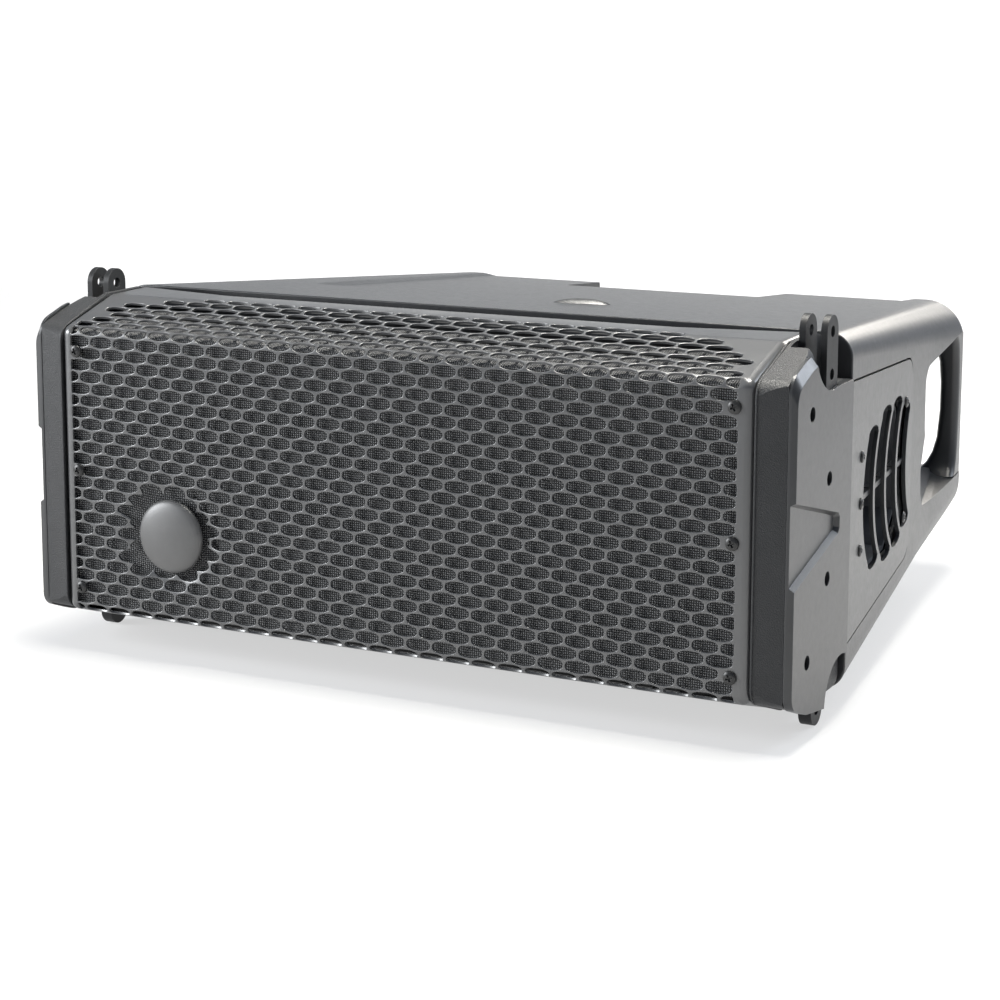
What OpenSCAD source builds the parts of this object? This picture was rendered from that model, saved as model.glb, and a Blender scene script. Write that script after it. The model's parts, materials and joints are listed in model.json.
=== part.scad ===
// Powered compact line array speaker: two 6-inch woofers beside a centre horn in a
// tapered moulded cabinet, with front link ears, front link tabs and a rear splay link.
// Frame: +X to the cabinet's left-hand viewer side, +Y to the back, +Z up. The modules
// are drawn from the grille's face (y = 0) and mid height (z = 0); place() moves them so
// that the origin is below the middle of the whole object, at its lowest point.

/* [Cabinet] */
// Half the width of the cabinet at the front, over the side plates
half_w = 252; // [240:1:260]
// Half the height of the cabinet at the front
half_h = 106; // [103:0.5:110]
// Depth from the grille's face to the back of the wings
depth = 470.5; // [460:0.5:480]
// Where the tapered shell starts, behind the end caps
shell_y = 99; // [97:0.5:101]
// Slope of each side in plan, in degrees
side_taper = 6.5; // [6:0.1:7]
// Slope of the top and of the bottom, in degrees
top_taper = 4.07; // [3.8:0.01:4.3]
// Wall thickness of the moulded shell
wall = 6; // [5:0.5:8]
// Corner radius of the shell at its front rim
front_corner_r = 15; // [12:1:18]
// Corner radius of the shell at the back
rear_corner_r = 36; // [30:1:40]

/* [Rear of the cabinet] */
// Half the width of the middle recess between the two wings
recess_half_w = 76; // [74:1:80]
// Depth coordinate of the recess floor
recess_y = 409; // [405:1:412]
// Depth coordinate where the handle pockets start
pocket_y = 334; // [330:1:338]
// Distance of the handle pocket's inner wall from the centre
pocket_x = 118; // [112:1:124]
// Width of the grip bar across the cabinet
grip_w = 14; // [13:0.5:18]
// Depth of the grip bar front to back
grip_d = 19; // [17:0.5:24]
// Rounding of a grip bar's edges
grip_r = 5; // [4:0.5:6]

/* [Grille] */
// Half the width of the grille
grille_half_w = 228.6; // [227:0.2:228.8]
// Thickness of the grille sheet
grille_t = 1.5; // [1.2:0.1:2]
// Distance between grille holes along a row, in this coarse perforation
hole_pitch_x = 34.18; // [33:0.01:36]
// Distance between rows of holes, in this coarse perforation
hole_pitch_z = 14.8; // [14:0.1:16]
// Number of rows of holes on the flat face
hole_rows = 11; // [7:2:11]

/* [Front rigging] */
// Thickness of each ear plate
ear_t = 4; // [3:0.5:4]
// Clear gap between the two ear plates
ear_gap = 8.6; // [8.2:0.1:9]
// Distance of the middle of that gap from the centre
ear_x = 241.5; // [241:0.1:241.6]
// Radius of the link pin holes
pin_hole_r = 3.3; // [3.2:0.05:3.4]
// Height of the upper link hole over the middle
ear_hole_z = 110; // [109.5:0.5:111]
// Depth of the lower link hole under the middle
tab_hole_z = 106.8; // [106:0.2:107]
// Thickness of the lower link tab
tab_t = 7.8; // [7.4:0.1:8]

/* [Drivers] */
// Distance of each woofer's axis from the centre
woofer_x = 134; // [133:0.5:135]
// Outer radius of the woofer frame
woofer_r = 82.5; // [80:0.5:83]
// Gap between a woofer's rim and the front frame's lugs
woofer_gap = 0.4; // [0.3:0.1:1]

/* [Rear rigging] */
// Radius of the splay link's pivot pin
pivot_r = 4; // [3.5:0.5:4.5]
// Running clearance round each pin
run_gap = 0.06; // [0.03:0.01:0.09]
// Distance between the splay link's two holes
link_len = 78; // [70:1:80]

/* [Hidden] */
$fn = 48;

// Whole object's box, used for the origin
badge_proud = 4.5;
tab_end_r = 9.2;
base_z = tab_hole_z + tab_end_r;
mid_y = (depth - badge_proud) / 2;
eps = 0.02;

// Shell section sizes along the depth
shell_half_w = half_w - 1.6;
shell_half_h = half_h - 1;
rear_round = 10;
rear_half_w = shell_half_w - (depth - shell_y) * tan(side_taper);
grip_low = -43;
grip_top = 57;

// Front structure
collar_half_w = 228.8;
collar_half_h = 96;
collar_wall = 6;
collar_y = 28;
baffle_y = 30;
baffle_t = 12;
grille_bend_z = 88;
bevel_y = 50;
flange_z = 105;
flange_y = 84;
grille_screw_at = [for (x = [-217.7, 217.7], z = [-75, 0, 75]) [x, z]];
lug_x = 212;
lug_y = 6;
badge_at = [-150.6, -35.2];
side_plate_t = 5;
plate_in_x = half_w - side_plate_t;
plate_hole_at = [[28, 69.3], [28, -69.3], [58.6, 28.5], [58.6, -28.5]];
ear_mid_y = 65;
ear_r = 9.3;
ear_top_hole2_z = 86;
ear_foot_z = 60;

// Vent panel, in its own plane on the cabinet's side
vent_t = 4;
vent_len = 190;
vent_front_h = 77;
vent_rear_h = 64;
slot_pitch = 34.5;
slot_u = 38;
slot_w = 29;
slot_arc_r = 56;
vent_screw_at = [[31, 28], [31, 0], [31, -28], [166, 42], [166, -42]];

// Amplifier panel and its connectors
panel_half = 74;
panel_t = 3;
panel_y = recess_y;
face_y = panel_y + panel_t;
connector_x = -48;
connector_z = [48, 15.5, -17, -49.5];
knob_x = 40;
control_z = 52;

// Rear rigging
cheek_t = 4;
cheek_gap = 8.8;
cheek_x = cheek_gap / 2;
base_plate_t = 4;
cheek_y = face_y + base_plate_t;
pivot_y = 437;
pivot_z = 58;
splay_hole_r = 3.175 + run_gap;
splay_z = -62;
splay_step = 13;

bolt_head = "#2b2c2e";
black = "#17181a";
plastic = "#242527";
steel = "#8b8d90";

module place() { translate([0, -mid_y, base_z]) children(); }
module side(s) { mirror([s < 0 ? 1 : 0, 0, 0]) children(); }
// A cylinder along +Y from y0 to y1
module rod_y(x, z, r, y0, y1) {
    translate([x, y0, z]) rotate([-90, 0, 0]) cylinder(r = r, h = y1 - y0);
}
// A cylinder along +X from x0 to x1
module rod_x(y, z, r, x0, x1) {
    translate([x0, y, z]) rotate([0, 90, 0]) cylinder(r = r, h = x1 - x0);
}
// A box from its two opposite corners
module block(a, b) { translate(a) cube(b - a); }
// A flat shape drawn in (y, z), extruded along +X from x0 to x1
module along_x(x0, x1) {
    translate([x0, 0, 0]) rotate([90, 0, 90]) linear_extrude(x1 - x0) children();
}
// A flat shape drawn in (x, z), extruded along +Y from y0 to y1
module along_y(y0, y1) {
    translate([0, y1, 0]) rotate([90, 0, 0]) linear_extrude(y1 - y0) children();
}
// A thin rounded section of the shell at depth y
module section(y, w, h, r) {
    along_y(y, y + eps) offset(r = r, $fn = 40) square([2 * (w - r), 2 * (h - r)], center = true);
}
// The plane of the right side: x runs back along the side, z up, y out of the cabinet
module side_plane() {
    translate([shell_half_w, shell_y, 0]) rotate([0, 0, 90 + side_taper]) mirror([0, 1, 0])
        children();
}
// A flat shape drawn in (along the side, up), extruded outwards from n0 to n1
module on_side(n0, n1) {
    side_plane() translate([0, n1, 0]) rotate([90, 0, 0]) linear_extrude(n1 - n0) children();
}

// Shell half width and half height at depth y, less an inset
function w_at(y, inset = 0) = shell_half_w - (y - shell_y) * tan(side_taper) - inset;
function h_at(y, inset = 0) = shell_half_h - (y - shell_y) * tan(top_taper) - inset;
function r_at(y) = front_corner_r
    + (rear_corner_r - front_corner_r) * (y - shell_y) / (depth - shell_y);

// ---- Cabinet ----
module shell_body(y0, y1, inset) {
    y2 = y1 - rear_round * (inset > 0 ? 0.5 : 1);
    hull() {
        section(y0, w_at(y0, inset), h_at(y0, inset), r_at(y0) - inset * 0.5);
        section(y2, w_at(y2, inset), h_at(y2, inset), r_at(y2) - inset * 0.5);
        section(y1 - 3, w_at(y1, inset + 3), h_at(y1, inset + 3), r_at(y1) - inset * 0.5);
        section(y1 - eps, w_at(y1, inset + 9), h_at(y1, inset + 9), r_at(y1) - inset * 0.5);
    }
}
// Outline of a handle pocket in (y, z); it runs out of the back of the wing
module pocket_shape() {
    polygon([[pocket_y, 6], [pocket_y - 8, -32], [pocket_y - 4, grip_low], [depth + 5, grip_low],
        [depth + 5, grip_top], [pocket_y + 106, grip_top], [pocket_y + 10, 50],
        [pocket_y + 1, 42]]);
}
// Upright grip bar across the handle pocket, at the wing's outer corner
module handle(s) {
    side(s) translate([rear_half_w - grip_w / 2 + 1, depth - grip_d / 2 - 0.2, grip_low])
        rotate([0, 0, side_taper]) linear_extrude(grip_top - grip_low)
            offset(r = grip_r, $fn = 32)
                square([grip_w - 2 * grip_r, grip_d - 2 * grip_r], center = true);
}
module handle_left() place() color(plastic) handle(-1);
module handle_right() place() color(plastic) handle(1);
module top_panel_recess() {
    translate([0, shell_y, shell_half_h]) rotate([-top_taper, 0, 0])
        translate([0, 0, -2.2]) linear_extrude(20) offset(r = 14, $fn = 32)
            translate([-166, 122]) square([332, 300]);
}
module cabinet_shell() place() color(plastic) difference() {
    shell_body(shell_y, depth, 0);
    // Inside of the cabinet
    shell_body(shell_y + wall, pocket_y - 12, wall);
    hull() {
        block([-pocket_x + wall + 4, pocket_y - 40, -h_at(recess_y, wall)],
            [pocket_x - wall - 4, pocket_y - 39, h_at(recess_y, wall)]);
        block([-pocket_x + wall + 4, recess_y - wall - 1, -h_at(recess_y, wall)],
            [pocket_x - wall - 4, recess_y - wall, h_at(recess_y, wall)]);
    }
    block([-collar_half_w + collar_wall, shell_y - 1, -collar_half_h + collar_wall],
        [collar_half_w - collar_wall, shell_y + wall + 6, collar_half_h - collar_wall]);
    // Middle recess at the back, and the cut-out behind the amplifier panel
    block([-recess_half_w, recess_y, -200], [recess_half_w, depth + 5, 200]);
    block([-64, recess_y - wall - 2, -64], [64, recess_y + 1, 64]);
    for (s = [-1, 1]) side(s) {
        along_x(pocket_x, half_w + 5) pocket_shape();
        on_side(-vent_t, 5) vent_outline(0.4);
        on_side(-wall - 8, 1) offset(delta = 0.4) duct_outline();
    }
    top_panel_recess();
    mirror([0, 0, 1]) top_panel_recess();
}
// Four-sided frame in front of the shell, with lugs for the grille screws
module front_frame() place() color(plastic) difference() {
    union() {
        block([-collar_half_w, collar_y, -collar_half_h], [collar_half_w, shell_y, collar_half_h]);
        for (s = [-1, 1], z = [-75, 0, 75]) side(s)
            block([lug_x, lug_y, z - 7], [collar_half_w, collar_y + 1, z + 7]);
    }
    difference() {
        block([-collar_half_w + collar_wall, collar_y - 1, -collar_half_h + collar_wall],
            [collar_half_w - collar_wall, shell_y + 1, collar_half_h - collar_wall]);
        for (s = [-1, 1], z = [-75, 0, 75]) side(s)
            block([lug_x, lug_y, z - 7], [collar_half_w, collar_y + 1, z + 7]);
    }
    for (p = grille_screw_at) rod_y(p[0], p[1], 2.05, 0, collar_y + 2);
    // Room for the woofer rims beside the middle lugs
    for (s = [-1, 1]) rod_y(s * woofer_x, 0, woofer_r + woofer_gap, 25, 31);
}
module front_baffle() place() color("#3a3128") {
    difference() {
        block([-222.6, baffle_y, -89.8], [222.6, baffle_y + baffle_t, 89.8]);
        for (s = [-1, 1]) rod_y(s * woofer_x, 0, 72, baffle_y - 1, baffle_y + baffle_t + 1);
        block([-43, baffle_y - 1, -81], [43, baffle_y + baffle_t + 1, 81]);
    }
}

// ---- End caps and side plates ----
// Side outline of the front end in (y, z)
module end_profile(front, back, h) {
    polygon([[front, -grille_bend_z], [front, grille_bend_z], [bevel_y, flange_z],
        [back - 10, h], [back, h - 3], [back, 3 - h], [back - 10, -h], [bevel_y, -flange_z]]);
}
module end_cap(s) {
    side(s) difference() {
        intersection() {
            along_x(229, plate_in_x - 0.2) end_profile(0.5, 96.5, half_h - 0.5);
            // Front face angled back towards the outside
            translate([229, 0, 0]) rotate([0, 0, 12]) translate([-5, 0, -150]) cube([60, 160, 300]);
        }
        // Channel for the link plates, closed by the side plate
        block([ear_x - ear_gap / 2 - ear_t - 0.4, 54, -130], [half_w, 77, 130]);
        block([ear_x - ear_gap / 2 - ear_t - 0.4, 44, 79], [half_w, 93, 130]);
        for (p = plate_hole_at) rod_x(p[0], p[1], 6.6, plate_in_x - 7.5, half_w);
    }
}
module end_cap_left() place() color(black) end_cap(-1);
module end_cap_right() place() color(black) end_cap(1);

module side_plate_outline() {
    difference() {
        polygon([[3.5, -90], [3.5, 91], [28, 99], [60, 104], [97, 104], [97, -102], [60, -104],
            [28, -99]]);
        // Windows round the upper link plate and the lower link tab
        translate([62, 108]) circle(r = 30);
        translate([62, 79]) square([60, 60]);
        translate([86, -106]) circle(r = 27);
    }
}
module side_plate(s) {
    side(s) difference() {
        along_x(plate_in_x, half_w) side_plate_outline();
        for (p = plate_hole_at) rod_x(p[0], p[1], 4.2, plate_in_x - 1, half_w + 1);
        // Triangular recess that runs out of the front edge
        along_x(half_w - 3, half_w + 1) polygon([[0, -25.5], [0, 25.5], [75, 4], [78, 0], [75, -4]]);
        // Room behind the plate for the foot of the outer ear
        block([plate_in_x - 1, 54, ear_foot_z - 2], [ear_x + ear_gap / 2 + ear_t + 0.3, 76, 90]);
    }
}
module side_plate_left() place() color("#303134") side_plate(-1);
module side_plate_right() place() color("#303134") side_plate(1);

module plate_nuts() place() color(steel) {
    for (s = [-1, 1], p = plate_hole_at)
        side(s) difference() {
            rod_x(p[0], p[1], 6.2, plate_in_x - 7, plate_in_x);
            rod_x(p[0], p[1], 3.4, plate_in_x - 8, plate_in_x + 1);
        }
}

// ---- Grille ----
module grille_hole() {
    w = hole_pitch_x - 4;
    h = hole_pitch_z - 1.6;
    polygon([[-w / 2, 0], [-w / 4, -h / 2], [w / 4, -h / 2], [w / 2, 0], [w / 4, h / 2],
        [-w / 4, h / 2]]);
}
// Centre of a hole; every other row is shifted by half a pitch
function hole_at(row, col) = [(col + (row % 2 == 0 ? 0 : 0.5)) * hole_pitch_x, row * hole_pitch_z];
module grille() place() color("#2a2b2d") {
    half_rows = (hole_rows - 1) / 2;
    top = grille_bend_z - 3;
    along_y(0, grille_t) difference() {
        square([2 * grille_half_w, 2 * top], center = true);
        for (row = [-half_rows : half_rows], col = [-6 : 5])
            if (norm(hole_at(row, col) - badge_at) > 38 && abs(hole_at(row, col)[0]) < 200)
                translate(hole_at(row, col)) grille_hole();
        translate(badge_at) circle(r = 23);
        for (p = grille_screw_at) translate(p) circle(r = 2.2);
    }
    for (m = [0, 1]) mirror([0, 0, m]) along_x(-grille_half_w, grille_half_w)
        polygon([[0, top], [0, grille_bend_z - 1], [2, grille_bend_z + 2], [bevel_y, flange_z],
            [flange_y, flange_z + 0.6], [flange_y, flange_z - grille_t + 0.6],
            [bevel_y, flange_z - grille_t], [3, grille_bend_z], [grille_t, grille_bend_z - 1.5],
            [grille_t, top]]);
}
module grille_cloth() place() color("#0d0d0e")
    block([-lug_x + 0.6, 4, -86], [lug_x - 0.6, 5.2, 86]);
module grille_screws() place() color(bolt_head)
    for (p = grille_screw_at) translate([p[0], 0, p[1]]) difference() {
        union() {
            rod_y(0, 0, 4, -2, 0);
            rod_y(0, 0, 2, -1, 22);
        }
        // Cross recess
        block([-2, -3, -0.45], [2, -0.9, 0.45]);
        block([-0.45, -3, -2], [0.45, -0.9, 2]);
    }
module badge_ring() place() color(black) difference() {
    union() {
        rod_y(badge_at[0], badge_at[1], 22, -3.2, 3.6);
        rod_y(badge_at[0], badge_at[1], 21, -4.1, 0);
    }
    rod_y(badge_at[0], badge_at[1], 18.4, -5, 1.5);
}
module badge_disc() place() color("#3a3c40")
    translate([badge_at[0], 1.5, badge_at[1]]) rotate([90, 0, 0]) rotate_extrude()
        polygon([[0, 0], [18.2, 0], [18.2, 4.6], [14, 5.3], [8, 5.8], [0, 6]]);

// ---- Front link ears and tabs ----
// An upright link plate between two heights, with a round top
module link_bar(x0, t, z_low, z_hole) {
    difference() {
        union() {
            rod_x(ear_mid_y, z_hole, ear_r, x0, x0 + t);
            block([x0, ear_mid_y - ear_r, z_low], [x0 + t, ear_mid_y + ear_r, z_hole]);
        }
        rod_x(ear_mid_y, z_hole, pin_hole_r, x0 - 1, x0 + t + 1);
        rod_x(ear_mid_y, 70, 3.1, x0 - 1, x0 + t + 1);
    }
}
module ear_inner(s) {
    side(s) difference() {
        link_bar(ear_x - ear_gap / 2 - ear_t, ear_t, -90, ear_hole_z);
        for (z = [-72, -84]) rod_x(ear_mid_y, z, 3.1, 200, half_w);
    }
}
module ear_outer(s) {
    side(s) difference() {
        link_bar(ear_x + ear_gap / 2, ear_t - 0.1, ear_foot_z, ear_hole_z);
        rod_x(ear_mid_y, ear_top_hole2_z, pin_hole_r, 200, half_w + 1);
    }
}
module ear_inner_left() place() color(black) ear_inner(-1);
module ear_inner_right() place() color(black) ear_inner(1);
module ear_outer_left() place() color(black) ear_outer(-1);
module ear_outer_right() place() color(black) ear_outer(1);
module tab(s) {
    x0 = ear_x - tab_t / 2;
    side(s) difference() {
        union() {
            rod_x(ear_mid_y, -tab_hole_z, tab_end_r, x0, x0 + tab_t);
            block([x0, ear_mid_y - tab_end_r, -tab_hole_z], [x0 + tab_t, ear_mid_y + tab_end_r, -63]);
        }
        rod_x(ear_mid_y, -tab_hole_z, pin_hole_r, x0 - 1, x0 + tab_t + 1);
        for (z = [-72, -84]) rod_x(ear_mid_y, z, 3.1, 200, half_w);
    }
}
module tab_left() place() color(black) tab(-1);
module tab_right() place() color(black) tab(1);
module rigging_bolts() place() color(steel) for (s = [-1, 1]) side(s) {
    // Upper bolt with its spacer between the ears, and two bolts through the tab
    rod_x(ear_mid_y, 70, 3, ear_x - ear_gap / 2 - ear_t, ear_x + ear_gap / 2 + ear_t);
    rod_x(ear_mid_y, 70, 6, ear_x - ear_gap / 2 + 0.05, ear_x + ear_gap / 2 - 0.05);
    for (z = [-72, -84]) {
        rod_x(ear_mid_y, z, 3, ear_x - ear_gap / 2 - ear_t, ear_x + tab_t / 2 + 1);
        rod_x(ear_mid_y, z, 5, ear_x + tab_t / 2, ear_x + tab_t / 2 + 1.5);
    }
}

// ---- Woofers ----
// A turned shape about a woofer's axis: the profile is (radius, depth)
module turned(x) { translate([x, 0, 0]) rotate([-90, 0, 0]) rotate_extrude() children(); }
module woofer_basket(s) difference() {
    turned(s * woofer_x)
        polygon([[70, 26], [woofer_r, 26], [woofer_r, 30], [71.5, 30], [68, 40], [44, 84],
            [44, 88], [24, 88], [24, 84], [40, 84], [65, 38]]);
    for (a = [0 : 60 : 300]) translate([s * woofer_x, 0, 0]) rotate([0, a, 0])
        block([40, 44, -14], [70, 80, 14]);
    for (a = [30 : 60 : 330])
        rod_y(s * woofer_x + 77.5 * cos(a), 77.5 * sin(a), 2.6, 25, 31);
}
module woofer_magnet(s) difference() {
    union() {
        rod_y(s * woofer_x, 0, 38, 88.1, 94);
        rod_y(s * woofer_x, 0, 42, 94, 112);
        rod_y(s * woofer_x, 0, 38, 112, 120);
    }
    difference() {
        rod_y(s * woofer_x, 0, 18, 88, 112);
        rod_y(s * woofer_x, 0, 14.6, 87, 113);
    }
}
module woofer_surround(s) turned(s * woofer_x) difference() {
    union() {
        translate([69.8, 25.4]) circle(r = 3.4);
        translate([70, 25]) square([3.3, 0.9]);
    }
    translate([69.8, 25.4]) circle(r = 2.6);
    translate([60, 25.9]) square([20, 6]);
}
module woofer_cone(s) turned(s * woofer_x)
    polygon([[0, 36], [9, 38.4], [17, 45.6], [64.8, 25.2], [66, 25.2], [66, 26], [65.2, 26],
        [16.4, 47.4], [16.4, 98], [15.7, 98], [15.7, 46.6], [8.6, 39.3], [0, 36.9]]);
module woofer_basket_left() place() color(bolt_head) woofer_basket(-1);
module woofer_basket_right() place() color(bolt_head) woofer_basket(1);
module woofer_magnet_left() place() color(steel) woofer_magnet(-1);
module woofer_magnet_right() place() color(steel) woofer_magnet(1);
module woofer_surround_left() place() color(black) woofer_surround(-1);
module woofer_surround_right() place() color(black) woofer_surround(1);
module woofer_cone_left() place() color("#1d1d1f") woofer_cone(-1);
module woofer_cone_right() place() color("#1d1d1f") woofer_cone(1);
module woofer_screws() place() color(bolt_head)
    for (s = [-1, 1], a = [30 : 60 : 330]) {
        x = s * woofer_x + 77.5 * cos(a);
        z = 77.5 * sin(a);
        rod_y(x, z, 4, 24, 26);
        rod_y(x, z, 2.4, 25, 30);
    }

// ---- Horn and compression driver ----
module flare(x, z, r, y0, y1) {
    hull() {
        block([-x, y0, -z], [x, y0 + eps, z]);
        rod_y(0, 0, r, y1 - eps, y1, $fn = 32);
    }
}
module horn_waveguide() place() color(black) difference() {
    union() {
        difference() {
            block([-49.5, 26, -87], [49.5, 30, 87]);
            block([-40, 25, -78], [40, 31, 78]);
        }
        difference() {
            flare(42, 80, 16, 30, 118);
            flare(40, 78, 12.7, 29.9, 118.1);
        }
        difference() {
            rod_y(0, 0, 36, 116, 121);
            rod_y(0, 0, 12.7, 115, 122);
        }
    }
    for (x = [-45, 45], z = [-82, 0, 82]) rod_y(x, z, 2.3, 25, 31);
}
module compression_driver() place() color(steel) difference() {
    union() {
        rod_y(0, 0, 36, 121.1, 127);
        rod_y(0, 0, 40, 127, 149);
        rod_y(0, 0, 34, 149, 163);
        rod_y(0, 0, 14, 163, 166);
    }
    rod_y(0, 0, 12.7, 121, 133);
}
module horn_screws() place() color(bolt_head)
    for (x = [-45, 45], z = [-82, 0, 82]) {
        rod_y(x, z, 3.5, 24.2, 26);
        rod_y(x, z, 2.1, 25, 30);
    }

// ---- Vents on the sides ----
// Trapezoid cover in (along the side, up)
module vent_outline(grow = 0) offset(r = grow + 14, $fn = 32) offset(delta = -14)
    polygon([[-20, -vent_front_h - 1], [-20, vent_front_h + 1], [vent_len, vent_rear_h],
        [vent_len, -vent_rear_h]]);
module duct_outline() polygon([[36, -52], [36, 52], [140, 52], [172, 33], [172, -33], [140, -52]]);
// One of the curved slots
module vent_slot(i) {
    intersection() {
        translate([slot_u + i * slot_pitch, 0]) difference() {
            translate([slot_arc_r, 0]) circle(r = slot_arc_r);
            translate([slot_arc_r + slot_w, 0]) circle(r = slot_arc_r);
        }
        translate([0, i == 3 ? -37 : -45])
            square([slot_u + 3 * slot_pitch + 26, i == 0 || i == 3 ? 74 : 85]);
    }
}
module vent_panel(s) {
    side(s) {
        difference() {
            on_side(-vent_t, 0.3) intersection() {
                vent_outline(0);
                translate([0.6, -100]) square([300, 200]);
            }
            for (i = [0 : 3]) on_side(-vent_t - 1, 1) vent_slot(i);
            for (p = vent_screw_at)
                on_side(-vent_t - 1, 1) translate(p) circle(r = 2.2);
        }
        // Rib across the slots
        on_side(-vent_t - 3, -vent_t) translate([37, -1.6]) square([131, 3.2]);
    }
}
module vent_duct(s) side(s) difference() {
    on_side(-42, -vent_t - 3.1) duct_outline();
    on_side(-40, -vent_t) offset(delta = -2.5) duct_outline();
    // Open to the inside of the cabinet at its front end
    on_side(-43, -26) translate([44, -44]) square([30, 88]);
}
module vent_panel_left() place() color(plastic) vent_panel(-1);
module vent_panel_right() place() color(plastic) vent_panel(1);
module vent_duct_left() place() color(black) vent_duct(-1);
module vent_duct_right() place() color(black) vent_duct(1);
module vent_screws() place() color(bolt_head)
    for (s = [-1, 1], p = vent_screw_at) side(s) {
        on_side(0.3, 1.6) translate(p) circle(r = 3.6);
        on_side(-vent_t - 3, 0.4) translate(p) circle(r = 2);
    }

// ---- Amplifier ----
module amp_panel() place() color("#1f2022") difference() {
    block([-panel_half, panel_y, -panel_half], [panel_half, face_y, panel_half]);
    for (z = connector_z) rod_y(connector_x, z, 12, panel_y - 1, face_y + 1);
    rod_y(knob_x, control_z, 3.6, panel_y - 1, face_y + 1);
    rod_y(knob_x + 20, control_z + 8, 3.4, panel_y - 1, face_y + 1);
    rod_y(knob_x + 20, control_z - 8, 2.6, panel_y - 1, face_y + 1);
    for (x = [-70, 70], z = [-70, 0, 70]) rod_y(x, z, 2, panel_y - 1, face_y + 1);
    for (x = [-17, 17], z = [-64, 0, 64]) rod_y(x, z, 3.1, panel_y - 1, face_y + 1);
}
module heat_sink() place() color("#2c2d30") {
    block([27, face_y, -68], [66, face_y + 4, 28]);
    for (i = [0 : 6]) block([28 + i * 5.9, face_y + 4, -68], [30 + i * 5.9, face_y + 26, 28]);
}
module amp_board() place() color("#1f5a34") {
    block([-48, 380, -46], [48, 382, 46]);
    for (i = [0 : 3]) rod_y(-36 + i * 24, 34, 8, 352, 380);
    for (i = [0 : 5]) block([-44 + i * 15, 366, -42], [-36 + i * 15, 380, -36]);
    block([-20, 358, -28], [22, 380, 18]);
}
module power_supply() place() color(steel) {
    difference() {
        block([-58, 300, -56], [58, 344, 56]);
        block([-56, 302, -54], [56, 345, 54]);
    }
    rod_y(0, 0, 34, 302, 338);
    for (x = [-40, 40], z = [-38, 38]) rod_y(x, z, 8, 302, 334);
    // Posts that hold the supply to the amplifier panel
    for (x = [-20, 20], z = [-51, 51]) rod_y(x, z, 2.5, 302, panel_y);
}
// Square-flanged round chassis connector with a recessed face; inner radius and core depth
module connector(z, bore_r, holes) difference() {
    union() {
        block([connector_x - 13, face_y, z - 15.5], [connector_x + 13, face_y + 3, z + 15.5]);
        rod_y(connector_x, z, 11.8, face_y - 26, face_y + 3);
        rod_y(connector_x, z, 11.2, face_y + 3, face_y + 5);
    }
    rod_y(connector_x, z, bore_r, face_y - 4, face_y + 6);
    for (i = [0 : holes - 1]) rod_y(connector_x + 4.6 * cos(360 / holes * i + 30),
        z + 4.6 * sin(360 / holes * i + 30), 1.4, face_y - 16, face_y - 3);
    for (k = [-1, 1]) rod_y(connector_x + k * 9.6, z + k * 12, 1.6, face_y - 1, face_y + 4);
    // Seat for the release latch
    if (z == connector_z[0]) block([connector_x - 3.2, face_y + 0.4, z + 11.4],
        [connector_x + 3.2, face_y + 6, z + 16]);
}
module signal_input() place() color(black) connector(connector_z[0], 9.6, 3);
module input_latch() place() color(steel)
    block([connector_x - 3, face_y + 2.2, connector_z[0] + 11.8],
        [connector_x + 3, face_y + 5.4, connector_z[0] + 15.2]);
module signal_output() place() color(black) {
    connector(connector_z[1], 9.6, 0);
    for (i = [0 : 2]) rod_y(connector_x + 4.6 * cos(120 * i + 30),
        connector_z[1] + 4.6 * sin(120 * i + 30), 1.2, face_y - 5, face_y + 1);
}
module power_input() place() color("#23427a") connector(connector_z[2], 10, 3);
module power_output() place() color("#9a9c9f") connector(connector_z[3], 10, 3);
module gain_knob() place() color(black) difference() {
    union() {
        rod_y(knob_x, control_z, 9, face_y + 0.4, face_y + 13);
        rod_y(knob_x, control_z, 3.5, panel_y - 6, face_y + 2);
    }
    block([knob_x - 0.7, face_y + 12, control_z + 2], [knob_x + 0.7, face_y + 14, control_z + 10]);
}
module preset_button() place() color("#9a9c9f")
    rod_y(knob_x + 20, control_z + 8, 3.3, panel_y - 5, face_y + 4);
module status_light() place() color("#3fae5a")
    rod_y(knob_x + 20, control_z - 8, 2.5, panel_y - 4, face_y + 1.6);
module panel_screws() place() color(bolt_head)
    for (x = [-70, 70], z = [-70, 0, 70]) {
        rod_y(x, z, 3.5, face_y, face_y + 2);
        rod_y(x, z, 1.9, face_y - 9, face_y + 1);
    }

// ---- Rear splay rigging ----
// Outline of one cheek in (y, z): an upper lug for the link, a lower lug with splay holes
module cheek_outline() {
    difference() {
        polygon([[cheek_y, 74], [pivot_y + 9, 74], [pivot_y + 14, 66], [pivot_y + 14, 46],
            [pivot_y + 4, 30], [cheek_y + 8, 22], [cheek_y + 8, -28], [pivot_y + 12, -40],
            [pivot_y + 20, -50], [pivot_y + 20, -74], [cheek_y, -74]]);
        translate([pivot_y, pivot_z]) circle(r = pivot_r + run_gap);
        for (i = [0 : 2]) translate([splay_y(i), splay_z + i * 3]) circle(r = splay_hole_r);
    }
}
function splay_y(i) = pivot_y + 9 - i * splay_step;
module rear_bracket() place() color(black) difference() {
    union() {
        for (s = [-1, 1]) side(s) along_x(cheek_x, cheek_x + cheek_t) cheek_outline();
        block([-24, face_y, -74], [24, cheek_y + eps, 74]);
    }
    for (x = [-17, 17], z = [-64, 0, 64]) rod_y(x, z, 3.1, face_y - 1, cheek_y + 1);
}
module bracket_bolts() place() color(steel) for (x = [-17, 17], z = [-64, 0, 64]) {
    rod_y(x, z, 5, cheek_y + eps, cheek_y + 4.5);
    rod_y(x, z, 3, panel_y, cheek_y + 1);
}
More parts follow.
